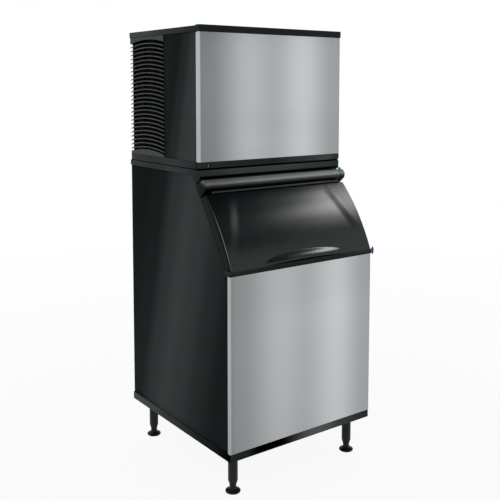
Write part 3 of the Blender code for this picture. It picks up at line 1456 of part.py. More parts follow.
def make_receiver(skin):
    top = FLOOR_SEAT + RECEIVER_HEIGHT
    dome = RECEIVER_RADIUS / 2
    profile = [
        (RECEIVER_RADIUS, FLOOR_SEAT),
        (RECEIVER_RADIUS, top - dome),
        (RECEIVER_RADIUS / 2, top),
    ]
    bm = turned(bmesh.new(), profile, "Z", (RECEIVER_X, RECEIVER_Y), SMALL_SEGMENTS)
    return piece("receiver_drier", bm, skin)


def make_discharge_line(skin):
    start = (COMPRESSOR_X - COMPRESSOR_RADIUS / 4, COMPRESSOR_Y + COMPRESSOR_RADIUS / 4)
    low = FLOOR_SEAT + TRAY_HEIGHT + COMPRESSOR_HEIGHT + GAP * 2
    high = FLOOR_TOP + PIPE_HIGH
    depth = (SHROUD_REAR + COIL_REAR) / 2
    end = -HALF + COIL_SETBACK + COIL_DEPTH + GAP
    corners = [(*start, low), (*start, high), (start[0], depth, high), (end, depth, high)]
    return piece("discharge_line", pipe(bmesh.new(), corners, PIPE_RADIUS), skin)


def make_suction_line(skin):
    x, height = SUCTION_START
    inward = COMPRESSOR_X + COMPRESSOR_RADIUS / 4
    low = FLOOR_SEAT + TRAY_HEIGHT + COMPRESSOR_HEIGHT + GAP * 2
    start = EVAPORATOR_FRONT + CUBE_DEPTH + EVAPORATOR_PLATE + GAP
    corners = [
        (x, start, height),
        (x, COMPRESSOR_Y, height),
        (inward, COMPRESSOR_Y, height),
        (inward, COMPRESSOR_Y, low),
    ]
    return piece("suction_line", pipe(bmesh.new(), corners, PIPE_RADIUS), skin)


def make_liquid_line(skin):
    x, height = LIQUID_END
    low = FLOOR_SEAT + RECEIVER_HEIGHT + GAP
    end = EVAPORATOR_FRONT + CUBE_DEPTH + EVAPORATOR_PLATE + GAP
    corners = [
        (RECEIVER_X, RECEIVER_Y, low),
        (RECEIVER_X, RECEIVER_Y, height),
        (x, RECEIVER_Y, height),
        (x, end, height),
    ]
    return piece("liquid_line", pipe(bmesh.new(), corners, PIPE_RADIUS), skin)


# Closed electrical box on the left wall, with a bushing on its front for the switch
def make_control_box(skin):
    left = -HALF + HEAD_SIDE_INSET + SHEET + GAP
    low = FLOOR_TOP + BOX_BOTTOM
    x_range = (left, BOX_RIGHT)
    y_range = (HEAD_FRONT + BOX_SETBACK + BOX_SHEET, HEAD_FRONT + BOX_SETBACK + BOX_DEPTH)
    made = piece("control_box", block(bmesh.new(), x_range, y_range, (low, low + BOX_HEIGHT)), skin)
    bush = bmesh.new()
    for side in (-1, 1):
        middle = SWITCH_AXIS[0] + side * (SWITCH_RADIUS + SHEET + RUNNING_GAP)
        ear = sorted((middle - SHEET, middle + SHEET))
        y_bush = (SWITCH_AXIS[1] - SWITCH_BUSH, y_range[0] + BOX_SHEET)
        block(bush, ear, y_bush, (SWITCH_AXIS[2] - SWITCH_BUSH, SWITCH_AXIS[2] + SWITCH_BUSH))
    join(made, bush)
    reach = SWITCH_BUSH * 2
    hole = (SWITCH_AXIS[0] - reach, SWITCH_AXIS[0] + reach)
    return cut(made, rod(bmesh.new(), (SWITCH_AXIS[1], SWITCH_AXIS[2]), SWITCH_RADIUS / 2 + GAP, "X", *hole))


def make_switch(skin):
    centre = (SWITCH_AXIS[1], SWITCH_AXIS[2])
    half = SWITCH_RADIUS
    bm = rod(bmesh.new(), centre, SWITCH_RADIUS, "X", SWITCH_AXIS[0] - half, SWITCH_AXIS[0] + half)
    made = piece("mode_switch", bm, skin, SWITCH_AXIS)
    pin = half + SHEET * 2 + RUNNING_GAP
    join(made, rod(bmesh.new(), centre, SWITCH_RADIUS / 2, "X", SWITCH_AXIS[0] - pin, SWITCH_AXIS[0] + pin))
    lever = (SWITCH_AXIS[0], SWITCH_AXIS[2])
    tip = SWITCH_AXIS[1] - SWITCH_REACH
    return join(made, rod(bmesh.new(), lever, SWITCH_RADIUS * 3 / 4, "Y", tip, SWITCH_AXIS[1]))


def make_inlet_valve(skin):
    outer = HEAD_REAR - TRIM_WALL - GAP
    inside = outer - SHEET - GAP
    height = FLOOR_TOP + VALVE_RISE
    bore = NIPPLE_BORE
    profile = [
        (VALVE_BODY, inside - VALVE_LENGTH),
        (VALVE_BODY, inside),
        (NIPPLE_RADIUS, inside),
        (NIPPLE_RADIUS, outer + NIPPLE_REACH),
        (bore, outer + NIPPLE_REACH),
        (bore, outer),
    ]
    bm = turned(bmesh.new(), profile, "Y", (VALVE_X, height), SMALL_SEGMENTS)
    return piece("water_inlet_valve", bm, skin)


def main():
    clear_scene()
    black_paint = paint("black_paint", (0.030, 0.034, 0.035), 0.45)
    black_plastic = paint("black_plastic", (0.034, 0.037, 0.038), 0.42)
    gloss_black = paint("gloss_black", (0.022, 0.025, 0.026), 0.22)
    steel = paint("brushed_steel", (0.46, 0.47, 0.48), 0.34, 1.0)
    zinc = paint("zinc_plate", (0.55, 0.56, 0.57), 0.42, 1.0)
    tub_white = paint("tub_white", (0.78, 0.80, 0.80), 0.5)
    foam = paint("foam", (0.80, 0.72, 0.50), 0.9)
    rubber = paint("rubber", (0.05, 0.05, 0.052), 0.8)
    nickel = paint("nickel", (0.62, 0.60, 0.55), 0.3, 1.0)
    copper = paint("copper", (0.72, 0.36, 0.22), 0.35, 1.0)
    aluminium = paint("aluminium", (0.70, 0.71, 0.72), 0.4, 1.0)
    blue = paint("light_blue", (0.024, 0.355, 0.69), 0.4)
    violet = paint("violet", (0.085, 0.082, 0.28), 0.4)

    make_bin_side("bin_left_panel", -1, black_paint)
    make_bin_side("bin_right_panel", 1, black_paint)
    make_bin_back(zinc)
    make_bin_front(steel)
    make_base_frame(black_plastic)
    make_liner(tub_white)
    make_liner_front(tub_white)
    make_insulation(foam)
    make_mouth_frame(black_plastic)
    make_top_frame(black_plastic)
    make_ledge_trim(black_plastic)
    make_ledge_plug(violet)
    make_door(HINGE, gloss_black)
    make_inner_panel(HINGE, black_plastic)
    make_gasket(HINGE, rubber)
    make_barrel(HINGE, black_plastic)
    for side, word in ((-1, "left"), (1, "right")):
        make_hinge_cap("hinge_end_cap_" + word, side, HINGE, black_plastic)
        make_front_screw("front_screw_" + word, side, zinc)
    make_pin_tab(HINGE, blue)
    make_baffle(tub_white)
    make_drain(black_plastic)
    for side, word in ((-1, "left"), (1, "right")):
        for depth, end in ((FRONT + LEG_INSET_FRONT, "front"), (REAR - LEG_INSET_REAR, "rear")):
            x = side * (HALF - LEG_INSET_X)
            make_leg("leg_" + end + "_" + word, x, depth, black_plastic)
            make_foot("foot_" + end + "_" + word, x, depth, black_plastic)

    make_head_base(black_plastic)
    make_bottom_trim(black_plastic)
    make_head_front(steel)
    make_top_trim(black_plastic)
    make_top_cover(black_plastic)
    make_head_side("head_left_panel", -1, GRILLE_FRONT - GAP, black_paint)
    make_head_side("head_right_panel", 1, HEAD_REAR, black_paint)
    make_head_back(zinc)
    make_grille(black_plastic)
    make_partition(tub_white)
    make_evaporator(nickel)
    make_curtain(tub_white)
    make_distribution_tube(black_plastic)
    make_trough(tub_white)
    make_pump(black_plastic)
    make_water_hose(rubber)
    make_coil(aluminium)
    make_shroud(zinc)
    make_fan(aluminium)
    make_fan_motor(black_paint)
    make_tray(zinc)
    make_compressor(black_paint)
    make_receiver(copper)
    make_discharge_line(copper)
    make_suction_line(copper)
    make_liquid_line(copper)
    make_control_box(zinc)
    make_switch(black_plastic)
    make_inlet_valve(black_plastic)


main()
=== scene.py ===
import json
import math

import bmesh
import bpy
from mathutils import Matrix, Vector

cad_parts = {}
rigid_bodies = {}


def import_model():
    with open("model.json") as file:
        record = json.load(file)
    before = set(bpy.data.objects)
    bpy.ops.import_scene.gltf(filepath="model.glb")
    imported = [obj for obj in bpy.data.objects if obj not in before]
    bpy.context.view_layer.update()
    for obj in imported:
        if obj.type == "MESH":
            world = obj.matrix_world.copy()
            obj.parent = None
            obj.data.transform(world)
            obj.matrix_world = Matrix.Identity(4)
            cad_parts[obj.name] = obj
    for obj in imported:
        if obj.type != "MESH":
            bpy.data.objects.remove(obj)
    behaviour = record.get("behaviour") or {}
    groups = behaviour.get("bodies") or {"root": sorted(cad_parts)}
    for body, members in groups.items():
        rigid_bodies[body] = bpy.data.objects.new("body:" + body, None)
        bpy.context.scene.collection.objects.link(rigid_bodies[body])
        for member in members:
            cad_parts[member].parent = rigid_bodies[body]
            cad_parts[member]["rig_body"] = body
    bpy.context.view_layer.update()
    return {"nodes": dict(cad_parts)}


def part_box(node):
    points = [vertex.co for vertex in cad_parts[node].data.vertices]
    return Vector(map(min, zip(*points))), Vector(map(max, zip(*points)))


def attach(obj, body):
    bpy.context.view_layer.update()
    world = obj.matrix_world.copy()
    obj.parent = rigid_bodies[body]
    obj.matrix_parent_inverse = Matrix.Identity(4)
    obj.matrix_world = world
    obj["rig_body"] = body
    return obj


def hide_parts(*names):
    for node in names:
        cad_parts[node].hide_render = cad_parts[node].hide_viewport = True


# Ice cube machine: looks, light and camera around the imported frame

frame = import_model()
nodes = frame["nodes"]
scene = bpy.context.scene
print("frame loaded:", len(nodes), "nodes")


class Wire:  # a socket that can stand in a sum
    def __init__(self, paint, socket):
        self.paint = paint
        self.socket = socket

    def calc(self, operation, *values):
        return self.paint.add("Math", {"operation": operation}, dict(enumerate(values)))

    def __add__(self, other):
        return self.calc("ADD", self, other)

    def __sub__(self, other):
        return self.calc("SUBTRACT", self, other)

    def __rsub__(self, other):
        return self.calc("SUBTRACT", other, self)

    def __mul__(self, other):
        return self.calc("MULTIPLY", self, other)

    def __abs__(self):
        return self.calc("ABSOLUTE", self)

    def orMore(self, other):  # the greater of two values
        return self.calc("MAXIMUM", self, other)

    __radd__ = __add__
    __rmul__ = __mul__


class Paint:  # a node tree whose nodes all come from one method
    def __init__(self, tree):
        self.tree = tree

    def add(self, kind, settings=None, sockets=None, output=0):
        node = self.tree.nodes.new("ShaderNode" + kind)
        for name, value in (settings or {}).items():
            if name == "stops":
                self.setStops(node.color_ramp, value)
            elif name == "curve":
                node.color_ramp.interpolation = value
            else:
                setattr(node, name, value)
        for name, value in (sockets or {}).items():
            if isinstance(value, Wire):
                self.tree.links.new(value.socket, node.inputs[name])
            else:
                node.inputs[name].default_value = value
        return Wire(self, node.outputs[output])

    def setStops(self, ramp, stops):
        while len(ramp.elements) < len(stops):
            ramp.elements.new(1.0)
        for element, (place, colour) in zip(ramp.elements, stops):
            element.position = place
            element.color = colour


class Finish(Paint):  # one material, its shader and the patterns that feed it
    def __init__(self, name, colour, roughness, metallic=0.0, gloss=0.5):
        self.material = bpy.data.materials.new(name)
        self.material.use_nodes = True
        self.material.diffuse_color = (*colour, 1.0)
        super().__init__(self.material.node_tree)
        self.shader = self.tree.nodes["Principled BSDF"]
        self.shader.inputs["Base Color"].default_value = (*colour, 1.0)
        self.shader.inputs["Roughness"].default_value = roughness
        self.shader.inputs["Metallic"].default_value = metallic
        self.shader.inputs["Specular IOR Level"].default_value = gloss

    def place(self):  # object coordinates
        return self.add("TexCoord", output="Object")

    def axis(self, name):
        return self.add("SeparateXYZ", {}, {"Vector": self.place()}, name)

    def noise(self, scale, detail=3.0, stretch=(1.0, 1.0, 1.0), rough=0.5):
        point = self.add("Mapping", {}, {"Vector": self.place(), "Scale": stretch}, "Vector")
        values = {"Vector": point, "Scale": scale, "Detail": detail, "Roughness": rough}
        return self.add("TexNoise", {}, values, "Fac")

    def spread(self, wire, low, high, newLow=0.0, newHigh=1.0):  # a value rescaled and held between two limits
        ends = {"Value": wire, "From Min": low, "From Max": high, "To Min": newLow, "To Max": newHigh}
        return self.add("MapRange", {"clamp": True}, ends, "Result")

    def vary(self, noise, low, high):  # the middle of a noise spread between two values
        return self.spread(noise, 0.3, 0.7, low, high)

    def mottle(self, scale, low, high, detail=3.0):
        return self.vary(self.noise(scale, detail), low, high)

    def ramp(self, wire, stops, curve="EASE"):
        return self.add("ValToRGB", {"stops": stops, "curve": curve}, {"Fac": wire}, "Color")

    def mix(self, factor, first, second, blend="MIX"):
        return self.add("Mix", {"data_type": "RGBA", "blend_type": blend}, {0: factor, 6: first, 7: second}, 2)

    def shade(self, tone, value):  # a colour made lighter or darker by a value
        return self.mix(1.0, tone, self.add("CombineColor", {}, {0: value, 1: value, 2: value}), "MULTIPLY")

    def feed(self, socket, wire):
        self.tree.links.new(wire.socket, self.shader.inputs[socket])

    def surface(self, tone, dull, grain, depth):  # colour, roughness and a fine bump make the material ready
        height = grain if isinstance(grain, Wire) else self.noise(grain, 2.0)
        self.feed("Base Color", tone)
        self.feed("Roughness", dull)
        self.feed("Normal", self.add("Bump", {}, {"Height": height, "Distance": depth}, "Normal"))
        return self.material


def grey(level, tint=(1.0, 1.0, 1.0)):
    return (level * tint[0], level * tint[1], level * tint[2], 1.0)


coolTint = {"deep": 0.67, "middle": 0.2, "middleLevel": 0.045, "light": 0.1, "lightSpan": 0.15, "blue": 0.995}


def cool(level):  # blacks lean to green and blue, the deeper the more
    middle = min(level / coolTint["middleLevel"], 1.0)
    light = min(max(level - coolTint["middleLevel"], 0.0) / coolTint["lightSpan"], 1.0)
    red = coolTint["deep"] + coolTint["middle"] * middle + coolTint["light"] * light
    return (level * red, level, level * coolTint["blue"], 1.0)


def coolStops(stops):
    return [(place, cool(level)) for place, level in stops]


satin = {  # the black sheets and mouldings: black satin paint with soft bands of painted sheen and painted shade
    "colour": (0.012, 0.013, 0.013), "roughness": 0.4, "gloss": 0.005,
    "lean": 0.24,  # metres that the painted sheen bands move forward for each metre of height
    "sideFrom": 0.0016, "sideTo": 0.0004,  # how near the outer face the sides' painted sheen bands take over
    "lineCore": 0.35, "lineSoft": 0.6, "lineTone": 0.02,  # a painted shadow line where parts meet, in shares of its width
    "mottle": (5.0, 0.97, 1.03, 4.0), "dull": (40.0, 0.38, 0.42), "grain": (420.0, 0.00003),
}
shadowLines = {  # finish: height and width of a painted shadow line where parts meet, and whether it runs all round or in front alone
    "collarBlack": [(1.324, 0.004, True), (1.2915, 0.012, False)],
    "baseBlack": [(1.324, 0.004, True)],
}
plainSide = [(0.0, 0.016), (1.0, 0.016)]
collarSideSheen = [(0.0, 0.038), (0.35, 0.064), (0.65, 0.048), (1.0, 0.066)]
bands = {  # finish: nodes whose box it spans, levels of painted sheen and shade from front to rear on the sides and left to right in front
    "binSidePaint": (
        "bin_left_panel",
        [(0.0, 0.019), (0.18, 0.035), (0.36, 0.057), (0.5, 0.066), (0.64, 0.047), (0.79, 0.015), (1.0, 0.008)],
        plainSide),
    "headSidePaint": (
        "head_left_panel",
        [(0.0, 0.068), (0.2, 0.06), (0.5, 0.031), (0.75, 0.015), (1.0, 0.015)],
        plainSide),
    "skirtBlack": (
        "bin_base_frame",
        [(0.0, 0.002), (0.2, 0.02), (0.6, 0.06), (0.8, 0.095), (1.0, 0.095)],
        [(0.0, 0.03), (0.1, 0.028), (0.19, 0.0005), (0.34, 0.001), (0.58, 0.135), (0.68, 0.12), (0.78, 0.07),
         (1.0, 0.035)]),
    "coverBlack": (
        "front_top_trim head_top_cover",
        [(0.0, 0.035), (0.4, 0.055), (0.75, 0.085), (1.0, 0.085)],
        [(0.0, 0.022), (1.0, 0.028)]),
    "collarBlack": (
        "bin_top_frame",
        collarSideSheen,
        [(0.0, 0.042), (0.25, 0.072), (0.6, 0.078), (0.85, 0.06), (1.0, 0.045)]),
    # the head base's front shows only in the gap under the trim and is painted near black as shade
    "baseBlack": (
        "bin_top_frame",
        collarSideSheen,
        [(0.0, 0.0005), (1.0, 0.0005)]),
    "trimBlack": (
        "front_bottom_trim",
        [(0.0, 0.036), (1.0, 0.036)],
        [(0.0, 0.036), (0.5, 0.03), (0.72, 0.054), (0.9, 0.085), (1.0, 0.045)]),
}


# painted light: soft bands of painted sheen and painted shade over the black paint
def paintedBandBlack(name, spanned, sideStops, frontStops):
    spanned = spanned.split()
    low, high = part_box(spanned[0])[0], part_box(spanned[-1])[1]
    black = Finish(name, satin["colour"], satin["roughness"], gloss=satin["gloss"])
    rise = black.axis("Z") - (low.z + high.z) / 2.0
    back = black.spread(black.axis("Y") + rise * satin["lean"], low.y, high.y)
    across = black.spread(black.axis("X"), low.x, high.x)
    onSide = black.spread(abs(black.axis("X")), high.x - satin["sideFrom"], high.x - satin["sideTo"])
    mottle = black.mottle(*satin["mottle"])
    # painted shadow lines where parts meet, darkest at their core
    for shadowHeight, wide, allRound in shadowLines.get(name, []):
        near, far = wide * satin["lineCore"], wide * satin["lineSoft"]
        line = black.spread(abs(black.axis("Z") - shadowHeight), near, far, satin["lineTone"], 1.0)
        mottle = mottle * (line if allRound else line.orMore(onSide))
    tone = black.mix(onSide, black.ramp(across, coolStops(frontStops)), black.ramp(back, coolStops(sideStops)))
    return black.surface(black.shade(tone, mottle), black.mottle(*satin["dull"]), *satin["grain"])


moulded = {  # finish: level, roughness and gloss of a plain black moulding; the screws' levels are a painted glint and painted shade, the bead's a painted highlight, the fins' painted shade
    "mouthBlack": (0.008, 0.4, 0.12),
    "legBlack": (0.014, 0.36, 0.25),
    # the bead's level is raised as a painted highlight
    "beadBlack": (0.04, 0.34, 0.3),
    "doorSide": (0.014, 0.4, 0.02),
    # a painted glint and painted shade for the two halves of each screw
    "screwBlack": (0.22, 0.3, 0.5),
    "screwHole": (0.0008, 0.5, 0.05),
    "innerBlack": (0.003, 0.7, 0.05),
    # the condenser fins are painted near black, standing in for the shade behind the grille
    "finBlack": (0.005, 0.6, 0.1),
}


def mouldedBlack(name, level, roughness, gloss):
    black = Finish(name, (level * 0.95, level, level), roughness, gloss=gloss)
    tone = black.shade(cool(level), black.mottle(6.0, 0.9, 1.1, 4.0))
    return black.surface(tone, black.mottle(60.0, roughness - 0.04, roughness + 0.05), 700.0, 0.00003)


doorGloss = {  # the door's face: hardly mottled, duller right of the dish
    "colour": (0.002, 0.005, 0.005), "tone": (0.0012, 0.0055, 0.0054, 1.0), "roughness": 0.23,
    "marginSlant": 0.424, "marginFrom": 0.785, "marginTo": 0.805, "marginDull": 0.065,
    "mottle": (14.0, 0.8, 1.2, 5.0), "dull": (5.0, 0.22, 0.25, 4.0), "grain": (300.0, 0.00001),
}


def glossBlack(name):
    black = Finish(name, doorGloss["colour"], doorGloss["roughness"])
    across = black.axis("X") + black.axis("Z") * doorGloss["marginSlant"]
    margin = black.spread(across, doorGloss["marginFrom"], doorGloss["marginTo"], 0.0, doorGloss["marginDull"])
    tone = black.shade(doorGloss["tone"], black.mottle(*doorGloss["mottle"]))
    return black.surface(tone, black.mottle(*doorGloss["dull"]) + margin, *doorGloss["grain"])


doorRimHighlight = {
    "colour": (0.03, 0.033, 0.033), "roughness": 0.34, "gloss": 0.2, "foot": 0.943, "top": 1.225,
    "levels": [(0.0, 0.16), (0.3, 0.4), (0.55, 0.36), (0.85, 0.06), (1.0, 0.02)],
    "mottle": (20.0, 0.94, 1.06), "dull": (60.0, 0.3, 0.38), "grain": (500.0, 0.00002),
}


def rimPaintedHighlight(name):  # painted highlight on the door's rounded side edges, lightest below the middle
    black = Finish(name, doorRimHighlight["colour"], doorRimHighlight["roughness"], gloss=doorRimHighlight["gloss"])
    height = black.spread(black.axis("Z"), doorRimHighlight["foot"], doorRimHighlight["top"])
    tone = black.shade(black.ramp(height, coolStops(doorRimHighlight["levels"])), black.mottle(*doorRimHighlight["mottle"]))
    return black.surface(tone, black.mottle(*doorRimHighlight["dull"]), *doorRimHighlight["grain"])


ledge = {
    "colour": (0.016, 0.018, 0.018), "roughness": 0.4, "gloss": 0.1, "foot": 0.922, "top": 0.942, "half": 0.384,
    # ribs: painted light and dark stripes up the strip; along: painted sheen from left to right
    "ribs": [(0.0, 0.006), (0.14, 0.02), (0.24, 0.003), (0.38, 0.035), (0.5, 0.003), (0.64, 0.04), (0.76, 0.004),
             (0.88, 0.045), (1.0, 0.03)],
    "along": [(0.0, 1.0), (0.35, 0.7), (0.7, 0.8), (1.0, 1.2)],
    "dull": (60.0, 0.36, 0.46), "grain": (700.0, 0.00003),
}


def ribbedPaintedLight(name):  # the ledge's strip, with painted highlights for its fine ribs and painted sheen that changes along its length
    black = Finish(name, ledge["colour"], ledge["roughness"], gloss=ledge["gloss"])
    height = black.spread(black.axis("Z"), ledge["foot"], ledge["top"])
    across = black.spread(black.axis("X"), -ledge["half"], ledge["half"])
    along = black.ramp(across, [(place, grey(level)) for place, level in ledge["along"]])
    tone = black.mix(1.0, black.ramp(height, coolStops(ledge["ribs"]), "LINEAR"), along, "MULTIPLY")
    return black.surface(tone, black.mottle(*ledge["dull"]), *ledge["grain"])


hingeLightAndShade = {
    "colour": (0.02, 0.021, 0.021), "roughness": 0.34, "gloss": 0.06, "lean": 0.35, "low": 1.3135, "high": 1.3605,
    "levels": [(0.0, 0.0005), (0.42, 0.002), (0.66, 0.06), (0.84, 0.28), (1.0, 0.17)],
    "left": -0.381, "fullFrom": -0.1, "leftShade": 0.62,
    "mottle": (30.0, 0.95, 1.05), "dull": (60.0, 0.3, 0.38), "grain": (700.0, 0.00003),
}


def rolledPaintedHighlight(name):  # the hinge line, with a painted highlight along its top, painted shade beneath and towards its left end
    black = Finish(name, hingeLightAndShade["colour"], hingeLightAndShade["roughness"], gloss=hingeLightAndShade["gloss"])
    height = black.axis("Z") - black.axis("Y") * hingeLightAndShade["lean"]
    up = black.spread(height, hingeLightAndShade["low"], hingeLightAndShade["high"])
    side = black.spread(black.axis("X"), hingeLightAndShade["left"], hingeLightAndShade["fullFrom"], hingeLightAndShade["leftShade"], 1.0)
    tone = black.shade(black.ramp(up, coolStops(hingeLightAndShade["levels"])), side * black.mottle(*hingeLightAndShade["mottle"]))
    return black.surface(tone, black.mottle(*hingeLightAndShade["dull"]), *hingeLightAndShade["grain"])


bladeLightAndShade = {  # levels from the painted highlight on the blades' lips to painted shade inwards, and painted shade at the ends near sill and header
    "colour": (0.03, 0.032, 0.032), "roughness": 0.42, "gloss": 0.2,
    "lip": -0.3825, "behind": -0.3775, "levels": [(0.0, 0.088), (0.3, 0.06)], "deepest": 0.0012,
    "sill": (1.375, 1.386, 0.62), "header": (1.868, 1.86, 0.66),
    "mottle": (24.0, 0.9, 1.1), "dull": (50.0, 0.38, 0.47), "grain": (600.0, 0.00003),
}


# painted highlight and painted shade on the louvre blades
def grilleBlack(name):
    black = Finish(name, bladeLightAndShade["colour"], bladeLightAndShade["roughness"], gloss=bladeLightAndShade["gloss"])
    inward = black.spread(black.axis("X"), bladeLightAndShade["lip"], bladeLightAndShade["behind"])
    stops = coolStops(bladeLightAndShade["levels"]) + [(1.0, grey(bladeLightAndShade["deepest"]))]
    sill = black.spread(black.axis("Z"), *bladeLightAndShade["sill"], 1.0)
    header = black.spread(black.axis("Z"), *bladeLightAndShade["header"], 1.0)
    tone = black.shade(black.ramp(inward, stops), sill * header * black.mottle(*bladeLightAndShade["mottle"]))
    return black.surface(tone, black.mottle(*bladeLightAndShade["dull"]), *bladeLightAndShade["grain"])


steel = {
    "colour": (0.45, 0.46, 0.47), "tint": (0.989, 1.021, 1.041), "roughness": 0.22, "dull": (0.2, 0.25),
    "riseFrom": 1.38, "riseTo": 1.58, "streaks": (0.97, 1.03), "depth": 0.000001,
    "coarse": (30.0, 6.0, (1.0, 60.0, 60.0), 0.65), "fine": (120.0, 3.0, (0.6, 40.0, 40.0), 0.7),
}
steelPaintedBands = {  # finish: node, painted shade at the head's foot and painted light above, broad upright bands of painted reflection from left to right
    "headSteel": (
        "head_front_panel", 0.925, 1.04,
        [(0.0, 0.6), (0.003, 0.6), (0.006, 0.285), (0.05, 0.3), (0.331, 0.62), (0.49, 0.548), (0.715, 0.748),
         (0.96, 0.46), (1.0, 0.44)]),
    "binSteel": (
        "bin_front_panel", 1.0, 1.0,
        [(0.0, 0.54), (0.003, 0.54), (0.006, 0.315), (0.05, 0.365), (0.341, 0.605), (0.5, 0.545), (0.74, 0.735),
         (0.965, 0.475), (1.0, 0.45)]),
}


# brushed steel grain with painted reflection bands across it and painted shade or light by height
def brushedSteelPaintedBands(name, node, lower, upper, tones):
    low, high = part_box(node)
    sheet = Finish(name, steel["colour"], steel["roughness"], 1.0)
    across = sheet.spread(sheet.axis("X"), low.x, high.x)
    tone = sheet.ramp(across, [(place, grey(level, steel["tint"])) for place, level in tones])
    coarse = sheet.noise(*steel["coarse"])
    fine = sheet.noise(*steel["fine"])
    rise = sheet.spread(sheet.axis("Z"), steel["riseFrom"], steel["riseTo"], lower, upper)
    tone = sheet.shade(tone, rise * sheet.vary(coarse * 0.6 + fine * 0.4, *steel["streaks"]))
    return sheet.surface(tone, sheet.vary(fine, *steel["dull"]), fine, steel["depth"])


metals = {  # finish: colour, roughness, spangles to a metre, variation
    "zincSheet": ((0.5, 0.51, 0.52), 0.42, 60.0, 0.12),
    "nickelPlate": ((0.62, 0.6, 0.55), 0.3, 25.0, 0.06),
    "copperTube": ((0.72, 0.36, 0.22), 0.33, 18.0, 0.16),
    "finAluminium": ((0.6, 0.61, 0.62), 0.45, 90.0, 0.08),
}


def spangledMetal(name, colour, roughness, scale, variation):
    metal = Finish(name, colour, roughness, 1.0)
    spangle = metal.add("TexVoronoi", {"feature": "F1"}, {"Vector": metal.place(), "Scale": scale}, "Color")
    value = metal.add("SeparateColor", {}, {0: spangle}, 0)
    cloud = metal.noise(8.0, 4.0)
    tone = metal.spread(value * 0.6 + cloud * 0.4, 0.2, 0.8, 1.0 - variation, 1.0 + variation)
    dull = metal.spread(value, 0.2, 0.8, roughness - 0.06, roughness + 0.06)
    return metal.surface(metal.shade((*colour, 1.0), tone), dull, cloud, 0.0001)


mouldings = {  # finish: colour, roughness, stain, grains to a metre, their depth
    "tubWhite": ((0.78, 0.8, 0.8), 0.42, 0.05, 500.0, 0.00005),
    "cutFoam": ((0.8, 0.72, 0.5), 0.9, 0.16, 180.0, 0.0008),
    "gasketRubber": ((0.03, 0.031, 0.032), 0.72, 0.12, 350.0, 0.00005),
    "lightBlue": ((0.02, 0.42, 0.86), 0.4, 0.06, 500.0, 0.00005),
    "violet": ((0.11, 0.1, 0.42), 0.4, 0.06, 500.0, 0.00005),
}


def plainMoulding(name, colour, roughness, stain, grain, depth):
    cover = Finish(name, colour, roughness)
    cloud = cover.mottle(7.0, 1.0 - stain, 1.0 + stain * 0.4, 5.0)
    dull = cover.mottle(45.0, roughness - 0.05, roughness + 0.05)
    return cover.surface(cover.shade((*colour, 1.0), cloud), dull, cover.noise(grain), depth)


finishes = {
    "glossDoor": glossBlack("glossDoor"), "doorEdge": rimPaintedHighlight("doorEdge"), "ledgeBlack": ribbedPaintedLight("ledgeBlack"),
    "hingeBlack": rolledPaintedHighlight("hingeBlack"), "grilleBlack": grilleBlack("grilleBlack"),
}
for make, rows in ((paintedBandBlack, bands), (mouldedBlack, moulded), (brushedSteelPaintedBands, steelPaintedBands),
                   (spangledMetal, metals), (plainMoulding, mouldings)):
    finishes.update({name: make(name, *values) for name, values in rows.items()})
nodesWith = {  # finish: the nodes that have it
    "binSidePaint": "bin_left_panel bin_right_panel",
    "headSidePaint": "head_left_panel head_right_panel",
    "binSteel": "bin_front_panel",
    "headSteel": "head_front_panel",
    "skirtBlack": "bin_base_frame",
    "collarBlack": "bin_top_frame",
    "baseBlack": "head_base",
    "ledgeBlack": "front_ledge_trim",
    "trimBlack": "front_bottom_trim",
    "coverBlack": "front_top_trim head_top_cover",
    "mouthBlack": "bin_mouth_frame",
    "glossDoor": "bin_door",
    "hingeBlack": "door_hinge_barrel hinge_end_cap_left hinge_end_cap_right",
    "grilleBlack": "louver_grille",
    "legBlack": "leg_front_left leg_front_right leg_rear_left leg_rear_right "
                "foot_front_left foot_front_right foot_rear_left foot_rear_right bin_drain_fitting",
    "screwBlack": "front_screw_left front_screw_right",
    "innerBlack": "door_inner_panel distribution_tube water_pump fan_motor compressor mode_switch "
                  "water_inlet_valve",
    "finBlack": "condenser_coil",
    "gasketRubber": "door_gasket water_hose",
    "lightBlue": "hinge_pin_tab",
    "violet": "ledge_side_plug",
    "tubWhite": "bin_liner bin_liner_front ice_baffle partition_wall water_curtain water_trough",
    "cutFoam": "bin_insulation",
    "zincSheet": "bin_back_panel head_back_panel fan_shroud compressor_tray control_box",
    "nickelPlate": "evaporator",
    "finAluminium": "condenser_fan",
    "copperTube": "receiver_drier discharge_line suction_line liquid_line",
}
nodeFinish = {node: finish for finish, names in nodesWith.items() for node in names.split()}
for name, thing in nodes.items():
    thing.data.materials.clear()
    thing.data.materials.append(finishes[nodeFinish[name]])
print("finishes on", len(nodeFinish), "nodes")

merge = {"gap": 0.00002, "flat": 1.0}  # metres, degrees


def makePiece(name, bm, node, finish=None, sharp=40.0, turnOut=True, more=()):
    # a new piece that stands for a node and moves with its body
    if turnOut:
        bmesh.ops.recalc_face_normals(bm, faces=bm.faces)
    mesh = bpy.data.meshes.new(name)
    bm.to_mesh(mesh)
    bm.free()
    for each in (finish or nodeFinish[node], *more):
        mesh.materials.append(finishes[each])
    mesh.shade_smooth()
    mesh.set_sharp_from_angle(angle=math.radians(sharp))
    made = bpy.data.objects.new(name, mesh)
    scene.collection.objects.link(made)
    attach(made, nodes[node]["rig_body"])
    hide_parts(node)
    return made


def bevelEdges(bm, edges, width, segments=2):
    return bmesh.ops.bevel(bm, geom=edges, offset=width, offset_type="OFFSET", affect="EDGES", segments=segments,
                           profile=0.5, material=-1, clamp_overlap=True)


def sharpEdges(bm, angle=30.0):
    limit = math.radians(angle)
    return [edge for edge in bm.edges if len(edge.link_faces) == 2 and edge.calc_face_angle(0.0) > limit]


def mergedCopy(node):  # the node's own form with its triangles joined into plain faces
    bm = bmesh.new()
    bm.from_mesh(nodes[node].data)
    bmesh.ops.remove_doubles(bm, verts=bm.verts, dist=merge["gap"])
    bmesh.ops.dissolve_limit(bm, angle_limit=math.radians(merge["flat"]), verts=bm.verts, edges=bm.edges)
    return bm


